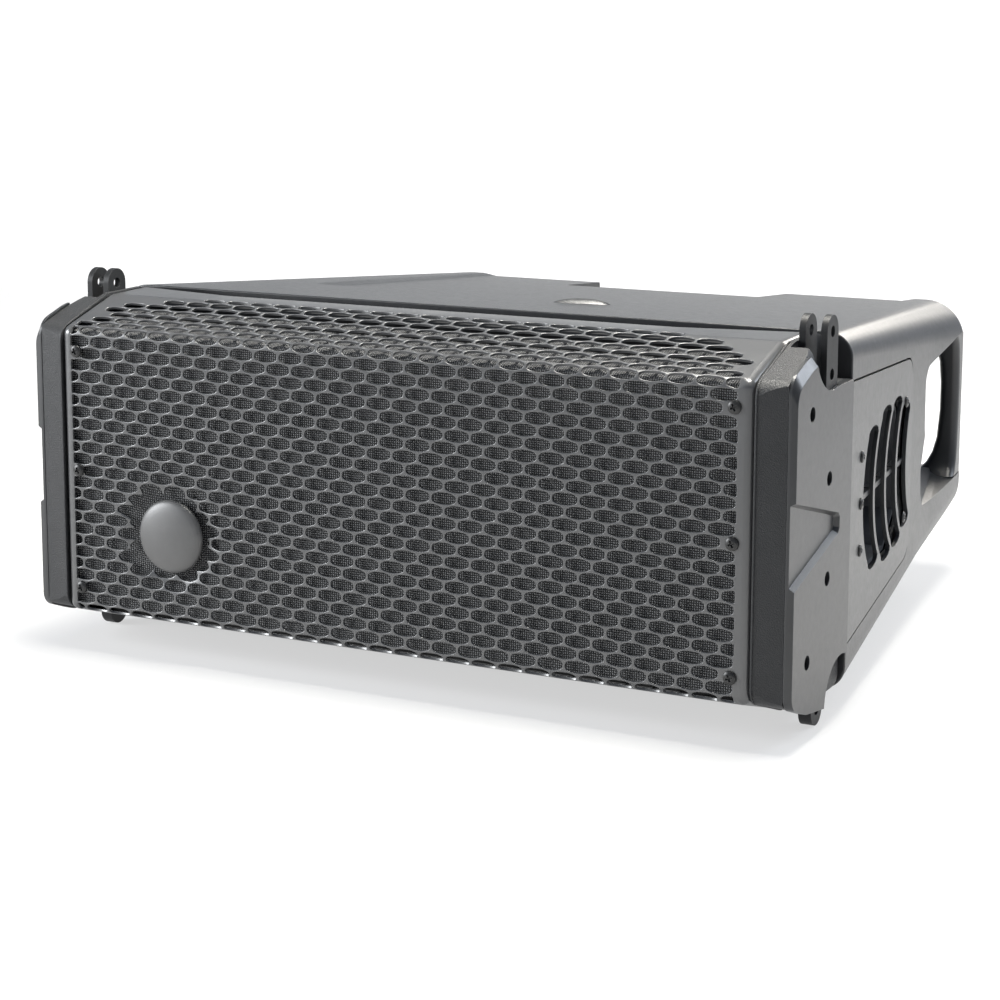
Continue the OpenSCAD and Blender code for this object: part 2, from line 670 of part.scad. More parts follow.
module rear_link() place() color(steel) difference() {
    flat_bar(11, pivot_z, pivot_z - link_len, cheek_gap - 1);
    rod_x(pivot_y, pivot_z, pivot_r + run_gap, -10, 10);
    rod_x(pivot_y, pivot_z - link_len, pin_hole_r, -10, 10);
}
// A flat bar with round ends, centred on x = 0
module flat_bar(r, z0, z1, t) {
    for (z = [z0, z1]) rod_x(pivot_y, z, r, -t / 2, t / 2);
    block([-t / 2, pivot_y - r, z1], [t / 2, pivot_y + r, z0]);
}
module link_pivot_pin() place() color(steel) {
    rod_x(pivot_y, pivot_z, pivot_r, -cheek_x - cheek_t - 2, cheek_x + cheek_t + 2);
    for (s = [-1, 1]) side(s)
        rod_x(pivot_y, pivot_z, pivot_r + 2, cheek_x + cheek_t + 0.3, cheek_x + cheek_t + 2.6);
}
module splay_pin() place() color("#b8babd") {
    x1 = cheek_x + cheek_t;
    rod_x(splay_y(0), splay_z, 3.175, -x1 - 5, x1 + 12);
    rod_x(splay_y(0), splay_z, 6.5, x1 + 0.4, x1 + 10);
    rod_x(splay_y(0), splay_z, 4.4, x1 + 9, x1 + 14);
}

// ---- Wiring ----
// A round cable through a list of points
module cable(points, r) for (i = [0 : len(points) - 2]) hull() {
    translate(points[i]) sphere(r = r, $fn = 8);
    translate(points[i + 1]) sphere(r = r, $fn = 8);
}
module speaker_wires() place() color("#7a2020") {
    for (s = [-1, 1]) side(s)
        cable([[30, 376, 54], [40, 330, 64], [60, 250, 66], [100, 150, 64], [120, 126, 50]], 2.2);
    cable([[0, 376, 54], [0, 300, 64], [0, 190, 50], [0, 172, 20]], 2.2);
}

cabinet_shell();
handle_left();
handle_right();
front_frame();
front_baffle();
end_cap_left();
end_cap_right();
side_plate_left();
side_plate_right();
plate_nuts();
grille();
grille_cloth();
grille_screws();
badge_ring();
badge_disc();
ear_inner_left();
ear_inner_right();
ear_outer_left();
ear_outer_right();
tab_left();
tab_right();
rigging_bolts();
woofer_basket_left();
woofer_basket_right();
woofer_magnet_left();
woofer_magnet_right();
woofer_surround_left();
woofer_surround_right();
woofer_cone_left();
woofer_cone_right();
woofer_screws();
horn_waveguide();
compression_driver();
horn_screws();
vent_panel_left();
vent_panel_right();
vent_duct_left();
vent_duct_right();
vent_screws();
amp_panel();
heat_sink();
amp_board();
power_supply();
signal_input();
input_latch();
signal_output();
power_input();
power_output();
gain_knob();
preset_button();
status_light();
panel_screws();
rear_bracket();
bracket_bolts();
rear_link();
link_pivot_pin();
splay_pin();
speaker_wires();
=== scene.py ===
"""Looks of a compact line array speaker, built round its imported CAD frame.

Pieces are drawn in millimetres in the cabinet's own axes: x to the right, y back from the
grille's face and z up from mid height. TO_FRAME turns that into the frame's metres.
"""
import json
import math
import bpy
import bmesh
from mathutils import Matrix, Vector
from mathutils.geometry import delaunay_2d_cdt

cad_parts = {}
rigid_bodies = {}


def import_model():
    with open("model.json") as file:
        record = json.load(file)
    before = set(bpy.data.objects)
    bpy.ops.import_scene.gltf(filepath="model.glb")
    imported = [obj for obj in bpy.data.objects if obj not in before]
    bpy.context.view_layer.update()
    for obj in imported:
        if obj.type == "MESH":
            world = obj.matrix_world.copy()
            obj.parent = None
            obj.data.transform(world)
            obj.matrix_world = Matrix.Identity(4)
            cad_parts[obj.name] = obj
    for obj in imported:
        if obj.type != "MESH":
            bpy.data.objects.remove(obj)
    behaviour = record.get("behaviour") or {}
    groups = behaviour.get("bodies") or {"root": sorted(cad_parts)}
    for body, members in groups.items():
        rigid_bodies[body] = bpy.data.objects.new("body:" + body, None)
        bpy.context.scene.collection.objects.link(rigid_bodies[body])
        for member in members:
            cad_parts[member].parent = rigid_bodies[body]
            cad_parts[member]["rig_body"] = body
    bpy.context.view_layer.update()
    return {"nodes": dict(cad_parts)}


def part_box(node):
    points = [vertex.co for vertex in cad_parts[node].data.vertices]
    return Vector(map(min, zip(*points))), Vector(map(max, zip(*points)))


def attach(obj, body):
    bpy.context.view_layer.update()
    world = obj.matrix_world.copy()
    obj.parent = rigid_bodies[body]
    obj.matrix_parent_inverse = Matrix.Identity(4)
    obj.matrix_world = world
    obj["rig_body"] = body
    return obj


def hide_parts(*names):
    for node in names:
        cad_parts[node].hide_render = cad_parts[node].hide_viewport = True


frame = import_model()

# ---- Sizes taken from the frame, in millimetres ----
MM = 0.001
GRILLE_LO, GRILLE_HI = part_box("grille")
FACE_Y = GRILLE_LO.y / MM
MID_Z = (GRILLE_LO.z + GRILLE_HI.z) / 2 / MM
TO_FRAME = Matrix.Translation((0, FACE_Y * MM, MID_Z * MM)) @ Matrix.Scale(MM, 4)


def span(node, axis):
    """Lowest and highest coordinate of a CAD node along one axis, in cabinet millimetres."""
    lo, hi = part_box(node)
    offset = (0, FACE_Y, MID_Z)[axis]
    return lo[axis] / MM - offset, hi[axis] / MM - offset


PLATE_IN, HALF_W = span("side_plate_right", 0)
CAP_IN = span("end_cap_right", 0)[0]
CAP_HALF_H = span("end_cap_right", 2)[1]
SHELL_HALF_W = span("cabinet_shell", 0)[1]
SHELL_HALF_H = span("cabinet_shell", 2)[1]
DEPTH = span("cabinet_shell", 1)[1]
# The shell's front edge, and how much its sides, top and bottom slope in towards the back
SHELL_Y = 99.0
SIDE_TAPER = math.radians(6.5)
TOP_TAPER = math.radians(4.07)


# ---- Mesh tools ----
CUT_TRIES = 5
LEAST_LEFT = 0.2
NUDGE = (0.013, 0.017, 0.011)
MERGE = 1e-3
FLAT = math.radians(0.6)


def new_object(name, mesh):
    obj = bpy.data.objects.new(name, mesh)
    bpy.context.scene.collection.objects.link(obj)
    return obj


def from_faces(name, verts, faces):
    """An object from plain lists of points and faces."""
    mesh = bpy.data.meshes.new(name)
    mesh.from_pydata([tuple(v) for v in verts], [], faces)
    mesh.update()
    return new_object(name, mesh)


def solid(name, rings):
    """A closed skin through rings that all have the same count of points."""
    n = len(rings[0])
    last = (len(rings) - 1) * n
    faces = [list(range(n))[::-1], list(range(last, last + n))]
    for a in range(0, last, n):
        b = a + n
        faces += [(a + i, a + (i + 1) % n, b + (i + 1) % n, b + i) for i in range(n)]
    obj = from_faces(name, [p for ring in rings for p in ring], faces)
    close_edit(open_edit(obj), obj)
    return obj


def prism(name, outline, axis, lo, hi):
    """A flat outline extruded along an axis: (y, z) along x, (x, z) along y or (x, y) along z."""
    def at(p, d):
        return {"x": (d, p[0], p[1]), "y": (p[0], d, p[1]), "z": (p[0], p[1], d)}[axis]
    return solid(name, [[at(p, lo) for p in outline], [at(p, hi) for p in outline]])


def open_edit(obj):
    bm = bmesh.new()
    bm.from_mesh(obj.data)
    return bm


def close_edit(bm, obj):
    """Turns the faces outwards and writes the mesh back."""
    bmesh.ops.recalc_face_normals(bm, faces=bm.faces)
    bm.to_mesh(obj.data)
    bm.free()


def box_between(name, lo, hi):
    """A box from its lowest to its highest corner."""
    outline = [(lo[1], lo[2]), (hi[1], lo[2]), (hi[1], hi[2]), (lo[1], hi[2])]
    return prism(name, outline, "x", lo[0], hi[0])


def circle(cx, cy, r, n):
    turns = [2 * math.pi * i / n for i in range(n)]
    return [(cx + r * math.cos(a), cy + r * math.sin(a)) for a in turns]


def rounded(points, radii, steps):
    """The outline with each corner replaced by an arc; radii is one number or one for each point."""
    if not isinstance(radii, (list, tuple)):
        radii = [radii] * len(points)
    out = []
    n = len(points)
    for i, (p, r) in enumerate(zip(points, radii)):
        p = Vector(p)
        a = Vector(points[i - 1]) - p
        b = Vector(points[(i + 1) % n]) - p
        room = min(a.length, b.length) / 2
        a.normalize()
        b.normalize()
        half = a.angle(b) / 2
        if r <= 0 or half > math.radians(88):
            out.append(tuple(p))
            continue
        cut = min(r / math.tan(half), room)
        r = cut * math.tan(half)
        centre = p + (a + b).normalized() * (r / math.sin(half))
        start = p + a * cut - centre
        end = p + b * cut - centre
        turn = start.angle_signed(end)
        for k in range(steps + 1):
            t = -turn * k / steps
            c, s = math.cos(t), math.sin(t)
            out.append((centre.x + c * start.x - s * start.y,
                        centre.y + s * start.x + c * start.y))
    return out


def lathe(name, profile, centre, axis, steps):
    """A profile of (radius, distance along the axis) turned round an axis through centre."""
    verts = []
    faces = []
    m = len(profile)
    for k in range(steps):
        a = 2 * math.pi * k / steps
        for r, d in profile:
            u, v = r * math.cos(a), r * math.sin(a)
            offset = {"y": (u, d, v), "z": (u, v, d)}[axis]
            verts.append([c + o for c, o in zip(centre, offset)])
    for k in range(steps):
        for i in range(m - 1):
            a, b = k * m + i, k * m + i + 1
            c, d = ((k + 1) % steps) * m + i + 1, ((k + 1) % steps) * m + i
            faces.append((a, b, c, d))
    obj = from_faces(name, verts, faces)
    bm = open_edit(obj)
    bmesh.ops.remove_doubles(bm, verts=bm.verts, dist=1e-4)
    bmesh.ops.holes_fill(bm, edges=[e for e in bm.edges if e.is_boundary], sides=0)
    close_edit(bm, obj)
    return obj


def apply_modifiers(obj):
    """Replaces the mesh by what its modifiers make of it."""
    bpy.context.view_layer.update()
    graph = bpy.context.evaluated_depsgraph_get()
    mesh = bpy.data.meshes.new_from_object(obj.evaluated_get(graph))
    obj.modifiers.clear()
    obj.data = mesh


def remove(*objs):
    for obj in objs:
        bpy.data.objects.remove(obj)


def volume(obj):
    bm = open_edit(obj)
    size = abs(bm.calc_volume())
    bm.free()
    return size


def boolean(obj, others, operation="DIFFERENCE"):
    """Cuts with one piece at a time. A cut that empties the object is tried again, nudged."""
    for other in others:
        before = obj.data.copy()
        size = volume(obj)
        for _ in range(CUT_TRIES):
            mod = obj.modifiers.new("cut", "BOOLEAN")
            mod.operation = operation
            mod.solver = "EXACT"
            mod.object = other
            apply_modifiers(obj)
            if volume(obj) > LEAST_LEFT * size:
                break
            obj.data = before.copy()
            other.data.transform(Matrix.Translation(NUDGE))
    remove(*others)


def join(name, objs):
    """One mesh out of several, without merging their surfaces."""
    bm = bmesh.new()
    for obj in objs:
        part = obj.data.copy()
        part.transform(obj.matrix_world)
        bm.from_mesh(part)
        bpy.data.meshes.remove(part)
    mesh = bpy.data.meshes.new(name)
    bm.to_mesh(mesh)
    bm.free()
    remove(*objs)
    return new_object(name, mesh)


def soften(obj, width, segments, angle):
    """Rounds the edges that are sharper than the angle."""
    clean(obj)
    mod = obj.modifiers.new("round", "BEVEL")
    mod.width = width
    mod.segments = segments
    mod.limit_method = "ANGLE"
    mod.angle_limit = math.radians(angle)
    apply_modifiers(obj)


def clean(obj):
    """Merges doubled points and the cuts across flat faces."""
    bm = open_edit(obj)
    bmesh.ops.remove_doubles(bm, verts=bm.verts, dist=MERGE)
    bmesh.ops.dissolve_degenerate(bm, edges=bm.edges, dist=MERGE)
    bmesh.ops.dissolve_limit(bm, angle_limit=FLAT, verts=bm.verts, edges=bm.edges)
    close_edit(bm, obj)


def mirrored(obj, name):
    """A copy mirrored across x = 0."""
    mesh = obj.data.copy()
    mesh.transform(Matrix.Scale(-1, 4, (1, 0, 0)))
    mesh.flip_normals()
    return new_object(name, mesh)


def finish_piece(obj, name, material, nodes, smooth=32.0, body="cabinet"):
    """Names a piece, turns it into frame metres, ties it to its body and hides the CAD nodes it
    replaces.
    """
    obj.name = name
    obj.data.name = name
    obj.data.transform(TO_FRAME)
    obj.data.materials.clear()
    obj.data.materials.append(material)
    shade(obj, smooth)
    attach(obj, body)
    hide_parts(*nodes)


def finish_pair(right, name, material, node, smooth):
    """Finishes the right piece and its mirrored copy; %s in name and node stands for the side."""
    left = mirrored(right, "left")
    for side, obj in (("right", right), ("left", left)):
        finish_piece(obj, name % side, material, [node % side], smooth)


def shade(obj, angle):
    """Smooth shading that keeps flat faces flat and the edges sharper than the angle crisp."""
    for polygon in obj.data.polygons:
        polygon.use_smooth = True
    obj.data.set_sharp_from_angle(angle=math.radians(angle))
    mod = obj.modifiers.new("flat", "WEIGHTED_NORMAL")
    mod.keep_sharp = True
    mod.weight = 80
    apply_modifiers(obj)


def from_cad(node, width):
    """A CAD node's mesh with its flat faces made whole and its edges rounded, in cabinet mm."""
    mesh = frame["nodes"][node].data.copy()
    mesh.materials.clear()
    mesh.transform(TO_FRAME.inverted())
    obj = new_object(node + "_look", mesh)
    soften(obj, width, 2, 30)
    return obj


# ---- Materials ----
def link_nodes(material):
    material.use_nodes = True
    tree = material.node_tree
    return tree, tree.nodes["Principled BSDF"]


def feed(tree, node, inputs):
    """Fills a node's inputs: the output of another node is linked, and anything else is a value."""
    for name, value in inputs.items():
        if isinstance(value, bpy.types.NodeSocket):
            tree.links.new(value, node.inputs[name])
        else:
            node.inputs[name].default_value = value


def math_node(tree, operation, a, b=0.5):
    """One maths node; b plays no part where the operation takes one number."""
    node = tree.nodes.new("ShaderNodeMath")
    node.operation = operation
    feed(tree, node, {0: a, 1: b})
    return node.outputs[0]


def noise(tree, coords, scale, detail, roughness=0.55):
    node = tree.nodes.new("ShaderNodeTexNoise")
    feed(tree, node, {"Vector": coords, "Scale": scale, "Detail": detail, "Roughness": roughness})
    return node.outputs["Fac"]


def creases(tree, coords, scale):
    """Distance to the creases between leather-like pebbles."""
    node = tree.nodes.new("ShaderNodeTexVoronoi")
    node.feature = "DISTANCE_TO_EDGE"
    feed(tree, node, {"Vector": coords, "Scale": scale})
    return node.outputs["Distance"]


def ramp(tree, value, stops):
    node = tree.nodes.new("ShaderNodeValToRGB")
    tree.links.new(value, node.inputs["Fac"])
    elements = node.color_ramp.elements
    for i, (position, colour) in enumerate(stops):
        element = elements[i] if i < 2 else elements.new(position)
        element.position = position
        element.color = (*colour, 1.0)
    return node.outputs["Color"]


def grey(v, tint=(1.0, 1.0, 1.0)):
    return tuple(v * t for t in tint)


def add_bump(tree, shader, height, depth):
    """Raises the surface by a height map, up to a depth in metres."""
    bump = tree.nodes.new("ShaderNodeBump")
    feed(tree, bump, {"Strength": 1.0, "Distance": depth, "Height": height})
    feed(tree, shader, {"Normal": bump.outputs["Normal"]})


COOL = (0.95, 1.0, 1.08)
WARM = (1.04, 1.0, 0.95)
MOTTLE = 35.0
GLOSS_VARY = 0.06
# How far in from an edge the lightening reaches; the lightening is partly wear, partly a painted
# highlight
WEAR_AND_HIGHLIGHT_REACH = 0.0012


def surface(name, colour, rough, grain=1500.0, depth=0.00002, metallic=0.0, vary=0.12, specular=0.5,
            leather=0.0, leather_scale=900.0, wear_and_highlight=0.0):
    """A moulded, painted or metal surface: slight colour and gloss variation, grain, and edges lightened
    partly as wear and partly as a painted highlight.
    """
    material = bpy.data.materials.new(name)
    tree, shader = link_nodes(material)
    coords = tree.nodes.new("ShaderNodeTexCoord").outputs["Object"]
    soft = noise(tree, coords, MOTTLE, 4.0)
    dark = tuple(c * (1 - vary) for c in colour)
    light = tuple(min(1.0, c * (1 + vary)) for c in colour)
    base = ramp(tree, soft, [(0.3, dark), (0.7, light)])
    # Edges lightened partly as wear, partly as a painted highlight
    if wear_and_highlight > 0:
        base = edge_wear_and_highlight(tree, coords, base, colour, wear_and_highlight)
    gloss = noise(tree, coords, MOTTLE * 6, 5.0)
    low = max(0.02, rough - GLOSS_VARY)
    high = min(1.0, rough + GLOSS_VARY)
    gloss = math_node(tree, "ADD", math_node(tree, "MULTIPLY", gloss, high - low), low)
    feed(tree, shader, {"Base Color": base, "Metallic": metallic, "Roughness": gloss,
                        "Specular IOR Level": specular})
    height = noise(tree, coords, grain, 2.0, 0.5)
    if leather > 0:
        pebbles = math_node(tree, "MULTIPLY", creases(tree, coords, leather_scale), 3.0)
        pebbles = math_node(tree, "MINIMUM", pebbles, 0.6)
        pebbles = math_node(tree, "MULTIPLY", pebbles, leather)
        height = math_node(tree, "ADD", height, pebbles)
    add_bump(tree, shader, height, depth)
    return material


def edge_wear_and_highlight(tree, coords, base, colour, amount):
    """Lightens the colour along edges, broken up by noise: partly wear, partly a painted highlight on
    the edges.
    """
    bevel = tree.nodes.new("ShaderNodeBevel")
    bevel.samples = 4
    feed(tree, bevel, {"Radius": WEAR_AND_HIGHLIGHT_REACH})
    geometry = tree.nodes.new("ShaderNodeNewGeometry")
    dot = tree.nodes.new("ShaderNodeVectorMath")
    dot.operation = "DOT_PRODUCT"
    feed(tree, dot, {0: bevel.outputs["Normal"], 1: geometry.outputs["Normal"]})
    edge = math_node(tree, "SUBTRACT", 1.0, dot.outputs["Value"])
    edge = math_node(tree, "MULTIPLY", edge, 6.0)
    patchy = math_node(tree, "MULTIPLY", edge, noise(tree, coords, 260.0, 4.0, 0.7))
    mask = math_node(tree, "MINIMUM", math_node(tree, "MULTIPLY", patchy, amount), 1.0)
    mix = tree.nodes.new("ShaderNodeMix")
    mix.data_type = "RGBA"
    wear_and_highlight_colour = [min(1.0, c * 2.6 + 0.02) for c in colour]
    feed(tree, mix, {"Factor": mask, "A": base, "B": (*wear_and_highlight_colour, 1.0)})
    return mix.outputs["Result"]


def cloth_material(name, pitch, colour, shine):
    """A coarse plain weave: threads over and under each other in x and up the sheet."""
    material = bpy.data.materials.new(name)
    tree, shader = link_nodes(material)
    coords = tree.nodes.new("ShaderNodeTexCoord").outputs["Object"]
    split = tree.nodes.new("ShaderNodeSeparateXYZ")
    tree.links.new(coords, split.inputs[0])
    turn = math.pi / pitch
    across = math_node(tree, "MULTIPLY", split.outputs["X"], turn)
    rise = math_node(tree, "ADD", split.outputs["Z"], split.outputs["Y"])
    wobble = math_node(tree, "MULTIPLY", noise(tree, coords, 420.0, 2.0), 1.3)
    up = math_node(tree, "ADD", math_node(tree, "MULTIPLY", rise, turn), wobble)
    warp = math_node(tree, "SINE", across)
    weft = math_node(tree, "SINE", up)
    over = math_node(tree, "MULTIPLY", warp, weft)
    knots = math_node(tree, "ABSOLUTE", over)
    weave = math_node(tree, "ADD", math_node(tree, "MULTIPLY", over, 0.35), knots)
    add_bump(tree, shader, weave, pitch * 0.45)
    base = ramp(tree, knots, [(0.3, tuple(c * 0.04 for c in colour)), (0.9, colour)])
    feed(tree, shader, {"Base Color": base, "Roughness": 0.42, "Specular IOR Level": shine})
    return material


# Each surface's edge lightening is partly wear, partly a painted highlight; it is strongest on the
# grille's hole edges
MAT = {
    "shell": surface("shell_plastic", grey(0.022, COOL), 0.36, depth=0.00007, leather=0.35, wear_and_highlight=0.25),
    "cap": surface("cap_plastic", grey(0.017, COOL), 0.52, grain=1300.0, depth=0.00022,
                   leather=0.6, leather_scale=800.0, specular=0.42, wear_and_highlight=0.2),
    "side": surface("side_metal", grey(0.02, COOL), 0.33, grain=900.0, depth=0.00003,
                    specular=0.55, wear_and_highlight=0.5),
    "grille": surface("grille_coat", grey(0.05, (0.98, 1.0, 1.03)), 0.32, grain=2200.0,
                      specular=1.0, vary=0.08, wear_and_highlight=0.8),
    "vent": surface("vent_plastic", grey(0.024, COOL), 0.34, depth=0.00007, leather=0.3, wear_and_highlight=0.25),
    # Lighter than the panels: painted light inside the vent slots
    "duct": surface("duct_plastic", grey(0.07, COOL), 0.55, grain=1200.0, depth=0.00006),
    "dark": surface("inner_plastic", grey(0.012), 0.6, grain=1200.0, depth=0.00006),
    "rigging": surface("rigging_coat", grey(0.01, COOL), 0.48, specular=0.32, wear_and_highlight=0.5),
    "screw": surface("black_screw", grey(0.02), 0.34, metallic=0.3, wear_and_highlight=0.6),
    "zinc": surface("zinc_steel", grey(0.5, COOL), 0.34, metallic=1.0, vary=0.2),
    "pin": surface("stainless_pin", grey(0.62, COOL), 0.22, metallic=1.0, vary=0.08),
    "badge": surface("badge_satin", grey(0.12), 0.46, metallic=0.5),
    # Near-black seat: painted shade behind the badge
    "badge_ring": surface("badge_rim", grey(0.012), 0.42),
    "cloth": cloth_material("grille_cloth", 0.0014, (0.2, 0.203, 0.207), 0.35),
    "wood": surface("baffle_paint", grey(0.02, WARM), 0.7, grain=500.0, depth=0.0001),
    "basket": surface("basket_paint", grey(0.03), 0.5, metallic=0.2),
    "magnet": surface("magnet_ferrite", grey(0.06), 0.55, metallic=0.3),
    "rubber": surface("surround_rubber", grey(0.013), 0.62, grain=900.0, depth=0.00004),
    "paper": surface("cone_paper", grey(0.018), 0.8, grain=700.0, depth=0.0002),
    "panel": surface("panel_anodised", grey(0.018), 0.45, metallic=0.3, wear_and_highlight=0.5),
    "sink": surface("heat_sink_anodised", grey(0.03, COOL), 0.38, metallic=0.7, wear_and_highlight=0.4),
    "board": surface("solder_mask", (0.01, 0.09, 0.035), 0.35),
    "socket": surface("socket_plastic", grey(0.015), 0.3, depth=0.00001),
    "latch": surface("latch_nickel", grey(0.6), 0.25, metallic=1.0),
    "blue": surface("power_blue", (0.012, 0.06, 0.3), 0.34, depth=0.00001),
    "pale": surface("power_grey", grey(0.42), 0.36, depth=0.00001),
    "knob": surface("knob_soft", grey(0.016), 0.55),
    "button": surface("button_pale", grey(0.45), 0.4, depth=0.00001),
    "wire": surface("wire_sheath", (0.25, 0.015, 0.015), 0.45, depth=0.00001),
}


def lens_material():
    """The green lens, lit."""
    material = surface("light_lens", (0.05, 0.45, 0.12), 0.18, grain=600.0, depth=0.00001, vary=0.05)
    tree, shader = link_nodes(material)
    feed(tree, shader, {"Emission Color": (0.1, 1.0, 0.25, 1.0), "Emission Strength": 0.6})
    return material


MAT["lens"] = lens_material()


# ---- Grille ----
# Its face, then its folds, measured along the sheet from mid height
GRILLE_HALF_W = 228.3
GRILLE_T = 1.5
BEND_Z = 85.0
BEND_R = 6.0
BEVEL = math.atan2(15.6, 50.0)
BEND_TURN = math.pi / 2 - BEVEL
BEND_ARC = BEND_R * BEND_TURN
BEVEL_END = 46.0
FLANGE_R = 12.0
FLANGE_ARC = FLANGE_R * BEVEL
FLANGE_SLOPE = math.radians(1.0)
FLANGE_END = 34.0
GRILLE_END_V = BEND_Z + BEND_ARC + BEVEL_END + FLANGE_ARC + FLANGE_END
# Where its left and right margins start to roll back, how far they go, and the roll's radius
MARGIN_ROLL = 223.6
ROLL_WIDE = 4.8
ROLL_R = 5.2
# The perforation: barrel-shaped holes in staggered rows
PITCH_X = 17.09
PITCH_Z = 7.4
HOLE_HALF_W = 7.75
HOLE_HALF_H = 3.5
BARREL = [(0.0, 1.0), (0.27, 0.975), (0.52, 0.9), (0.74, 0.77), (0.91, 0.58), (1.0, 0.24)]
PATTERN_X = -2.3
PATTERN_LO = -221.8
PATTERN_HI = 219.5
OUTER_ROW = 19
OUTER_COL = 14
LAST_FULL_ROW = 12
MARGIN_SPARE = 3
EDGE_ROLL = 0.5
# Screws, badge, the cut-out round it and the pressed dish it sits in
SCREW_X = 217.7
SCREW_Z = 75.0
SCREW_ROOM_X = 9
SCREW_ROOM_Z = 3
BADGE = Vector((-149.9, -35.4))
CUT_OUT = Vector((-153.1, -35.5))
CUT_OUT_R = 24.9
DISH_R = 38.0
DISH_SLOPE = 14.0
DISH_DEEP = 2.4


def grille_path(v):
    """Point (y, z) and outward normal at distance v along the folded sheet, v = 0 at mid height."""
    sign = 1 if v >= 0 else -1
    v = abs(v)
    if v <= BEND_Z:
        y, z, a = 0.0, v, 0.0
    elif v <= BEND_Z + BEND_ARC:
        a = (v - BEND_Z) / BEND_R
        y, z = BEND_R * (1 - math.cos(a)), BEND_Z + BEND_R * math.sin(a)
    else:
        y0 = BEND_R * (1 - math.cos(BEND_TURN))
        z0 = BEND_Z + BEND_R * math.sin(BEND_TURN)
        s = v - BEND_Z - BEND_ARC
        along = min(s, BEVEL_END)
        y, z = y0 + along * math.cos(BEVEL), z0 + along * math.sin(BEVEL)
        a = BEND_TURN
        s -= along
        if s > 0:
            bend = min(s, FLANGE_R * (BEVEL - FLANGE_SLOPE))
            cy, cz = y + FLANGE_R * math.sin(BEVEL), z - FLANGE_R * math.cos(BEVEL)
            a = BEND_TURN + bend / FLANGE_R
            y, z = cy - FLANGE_R * math.cos(a), cz + FLANGE_R * math.sin(a)
            s -= bend
            y, z = y + s * math.sin(a), z + s * math.cos(a)
    return y, sign * z, -math.cos(a), sign * math.sin(a)


def eased(amount, t):
    """Grows smoothly from 0 at t = 0 to the amount at t = 1, and stays level beyond."""
    t = max(0.0, min(1.0, t))
    return amount * t * t * (3 - 2 * t)


def dish(x, v):
    """How far the sheet is pressed in round the badge."""
    d = (Vector((x, v)) - BADGE).length
    return eased(DISH_DEEP, (DISH_R - d) / DISH_SLOPE)


def on_grille(x, v, out):
    """A point of the sheet: across x, along v, and out from its front face."""
    y, z, ny, nz = grille_path(v)
    over = min(max(0.0, abs(x) - MARGIN_ROLL), ROLL_WIDE)
    out -= dish(x, v) + ROLL_R - math.sqrt(ROLL_R ** 2 - over ** 2)
    return x, y + ny * out, z + nz * out


def row_reach(row):
    """How far from the middle the holes of a row go: they fade in an arch up the bevel."""
    k = abs(row)
    if k <= LAST_FULL_ROW:
        return GRILLE_HALF_W
    climb = (k - 12.6) / 6.9
    return 130.0 + 90.0 * math.sqrt(max(0.0, 1 - climb ** 2))


def barrel(cx, cv, grow):
    """Outline of one hole: flat arcs above and below, short straight ends, cut off at the margins."""
    a, b = HOLE_HALF_W + grow, HOLE_HALF_H + grow
    lo, hi = PATTERN_LO - grow, PATTERN_HI + grow
    top = [(-x, z) for x, z in BARREL[::-1]] + BARREL[1:]
    top = [(cx + x * a, z * b) for x, z in top]
    if cx - a < lo:
        top = cut_off(top, lo, 1)
    elif cx + a > hi:
        top = cut_off(top[::-1], hi, -1)[::-1]
    if len(top) < 4:
        return None
    return [(x, cv - z) for x, z in top] + [(x, cv + z) for x, z in top[::-1]]


def cut_off(top, limit, sign):
    """Cuts an upper outline short at a limit, with a small rounded corner."""
    kept = [p for p in top if (p[0] - limit) * sign > 1.3]
    if len(kept) < 3:
        return []
    tall = kept[0][1] + 0.06
    corner = [(limit + sign * out, tall - drop) for out, drop in ((0.0, 1.1), (0.3, 0.35), (1.0, 0.0))]
    return corner + kept


def at_screw(x, v):
    """True where a screw's seat leaves no room for a hole."""
    beside = abs(abs(x) - SCREW_X) < SCREW_ROOM_X
    return beside and min(abs(v - z) for z in (-SCREW_Z, 0, SCREW_Z)) < SCREW_ROOM_Z


def hole_list():
    """Centre of every hole of the sheet, with those that the margins cut off."""
    out = []
    for row in range(-OUTER_ROW, OUTER_ROW + 1):
        shift = 0.5 if row % 2 else 0.0
        v = row * PITCH_Z
        for col in range(-OUTER_COL, OUTER_COL):
            x = PATTERN_X + (col + shift) * PITCH_X
            inside = PATTERN_LO - MARGIN_SPARE <= x <= PATTERN_HI + MARGIN_SPARE
            if inside and abs(x) <= row_reach(row) and not at_screw(x, v):
                out.append((x, v))
    return out


def in_hole(x, v, hole, grow):
    """True inside a hole's barrel outline."""
    a = abs(x - hole[0]) / (HOLE_HALF_W + grow)
    if a >= 1:
        return False
    return abs(v - hole[1]) < (HOLE_HALF_H + grow) * (1 - a ** 2.6) ** 0.62


def cut_out_point(angle, r):
    """A point round the cut-out's centre."""
    return CUT_OUT.x + r * math.cos(angle), CUT_OUT.y + r * math.sin(angle)


def crosses_cut_out(hole, grow):
    """True for a hole that the badge's cut-out runs into or that lies inside it."""
    reach = CUT_OUT_R + 2.0
    if (Vector(hole) - CUT_OUT).length > reach + HOLE_HALF_W:
        return False
    radii = [reach - 4 * k for k in range(5)] + [8, 4]
    return any(in_hole(*cut_out_point(math.radians(a), r), hole, grow)
               for a in range(0, 360, 2) for r in radii)


def cut_out(crossing, grow):
    """Outline of the badge's cut-out: a circle joined with the holes it runs into."""
    out = []
    for k in range(180):
        angle = math.radians(2.0 * k)
        reach = CUT_OUT_R + grow
        for j in range(1, 60):
            r = CUT_OUT_R + grow + 0.25 * j
            if any(in_hole(*cut_out_point(angle, r), h, grow) for h in crossing):
                reach = r
        out.append(cut_out_point(angle, reach))
    return out


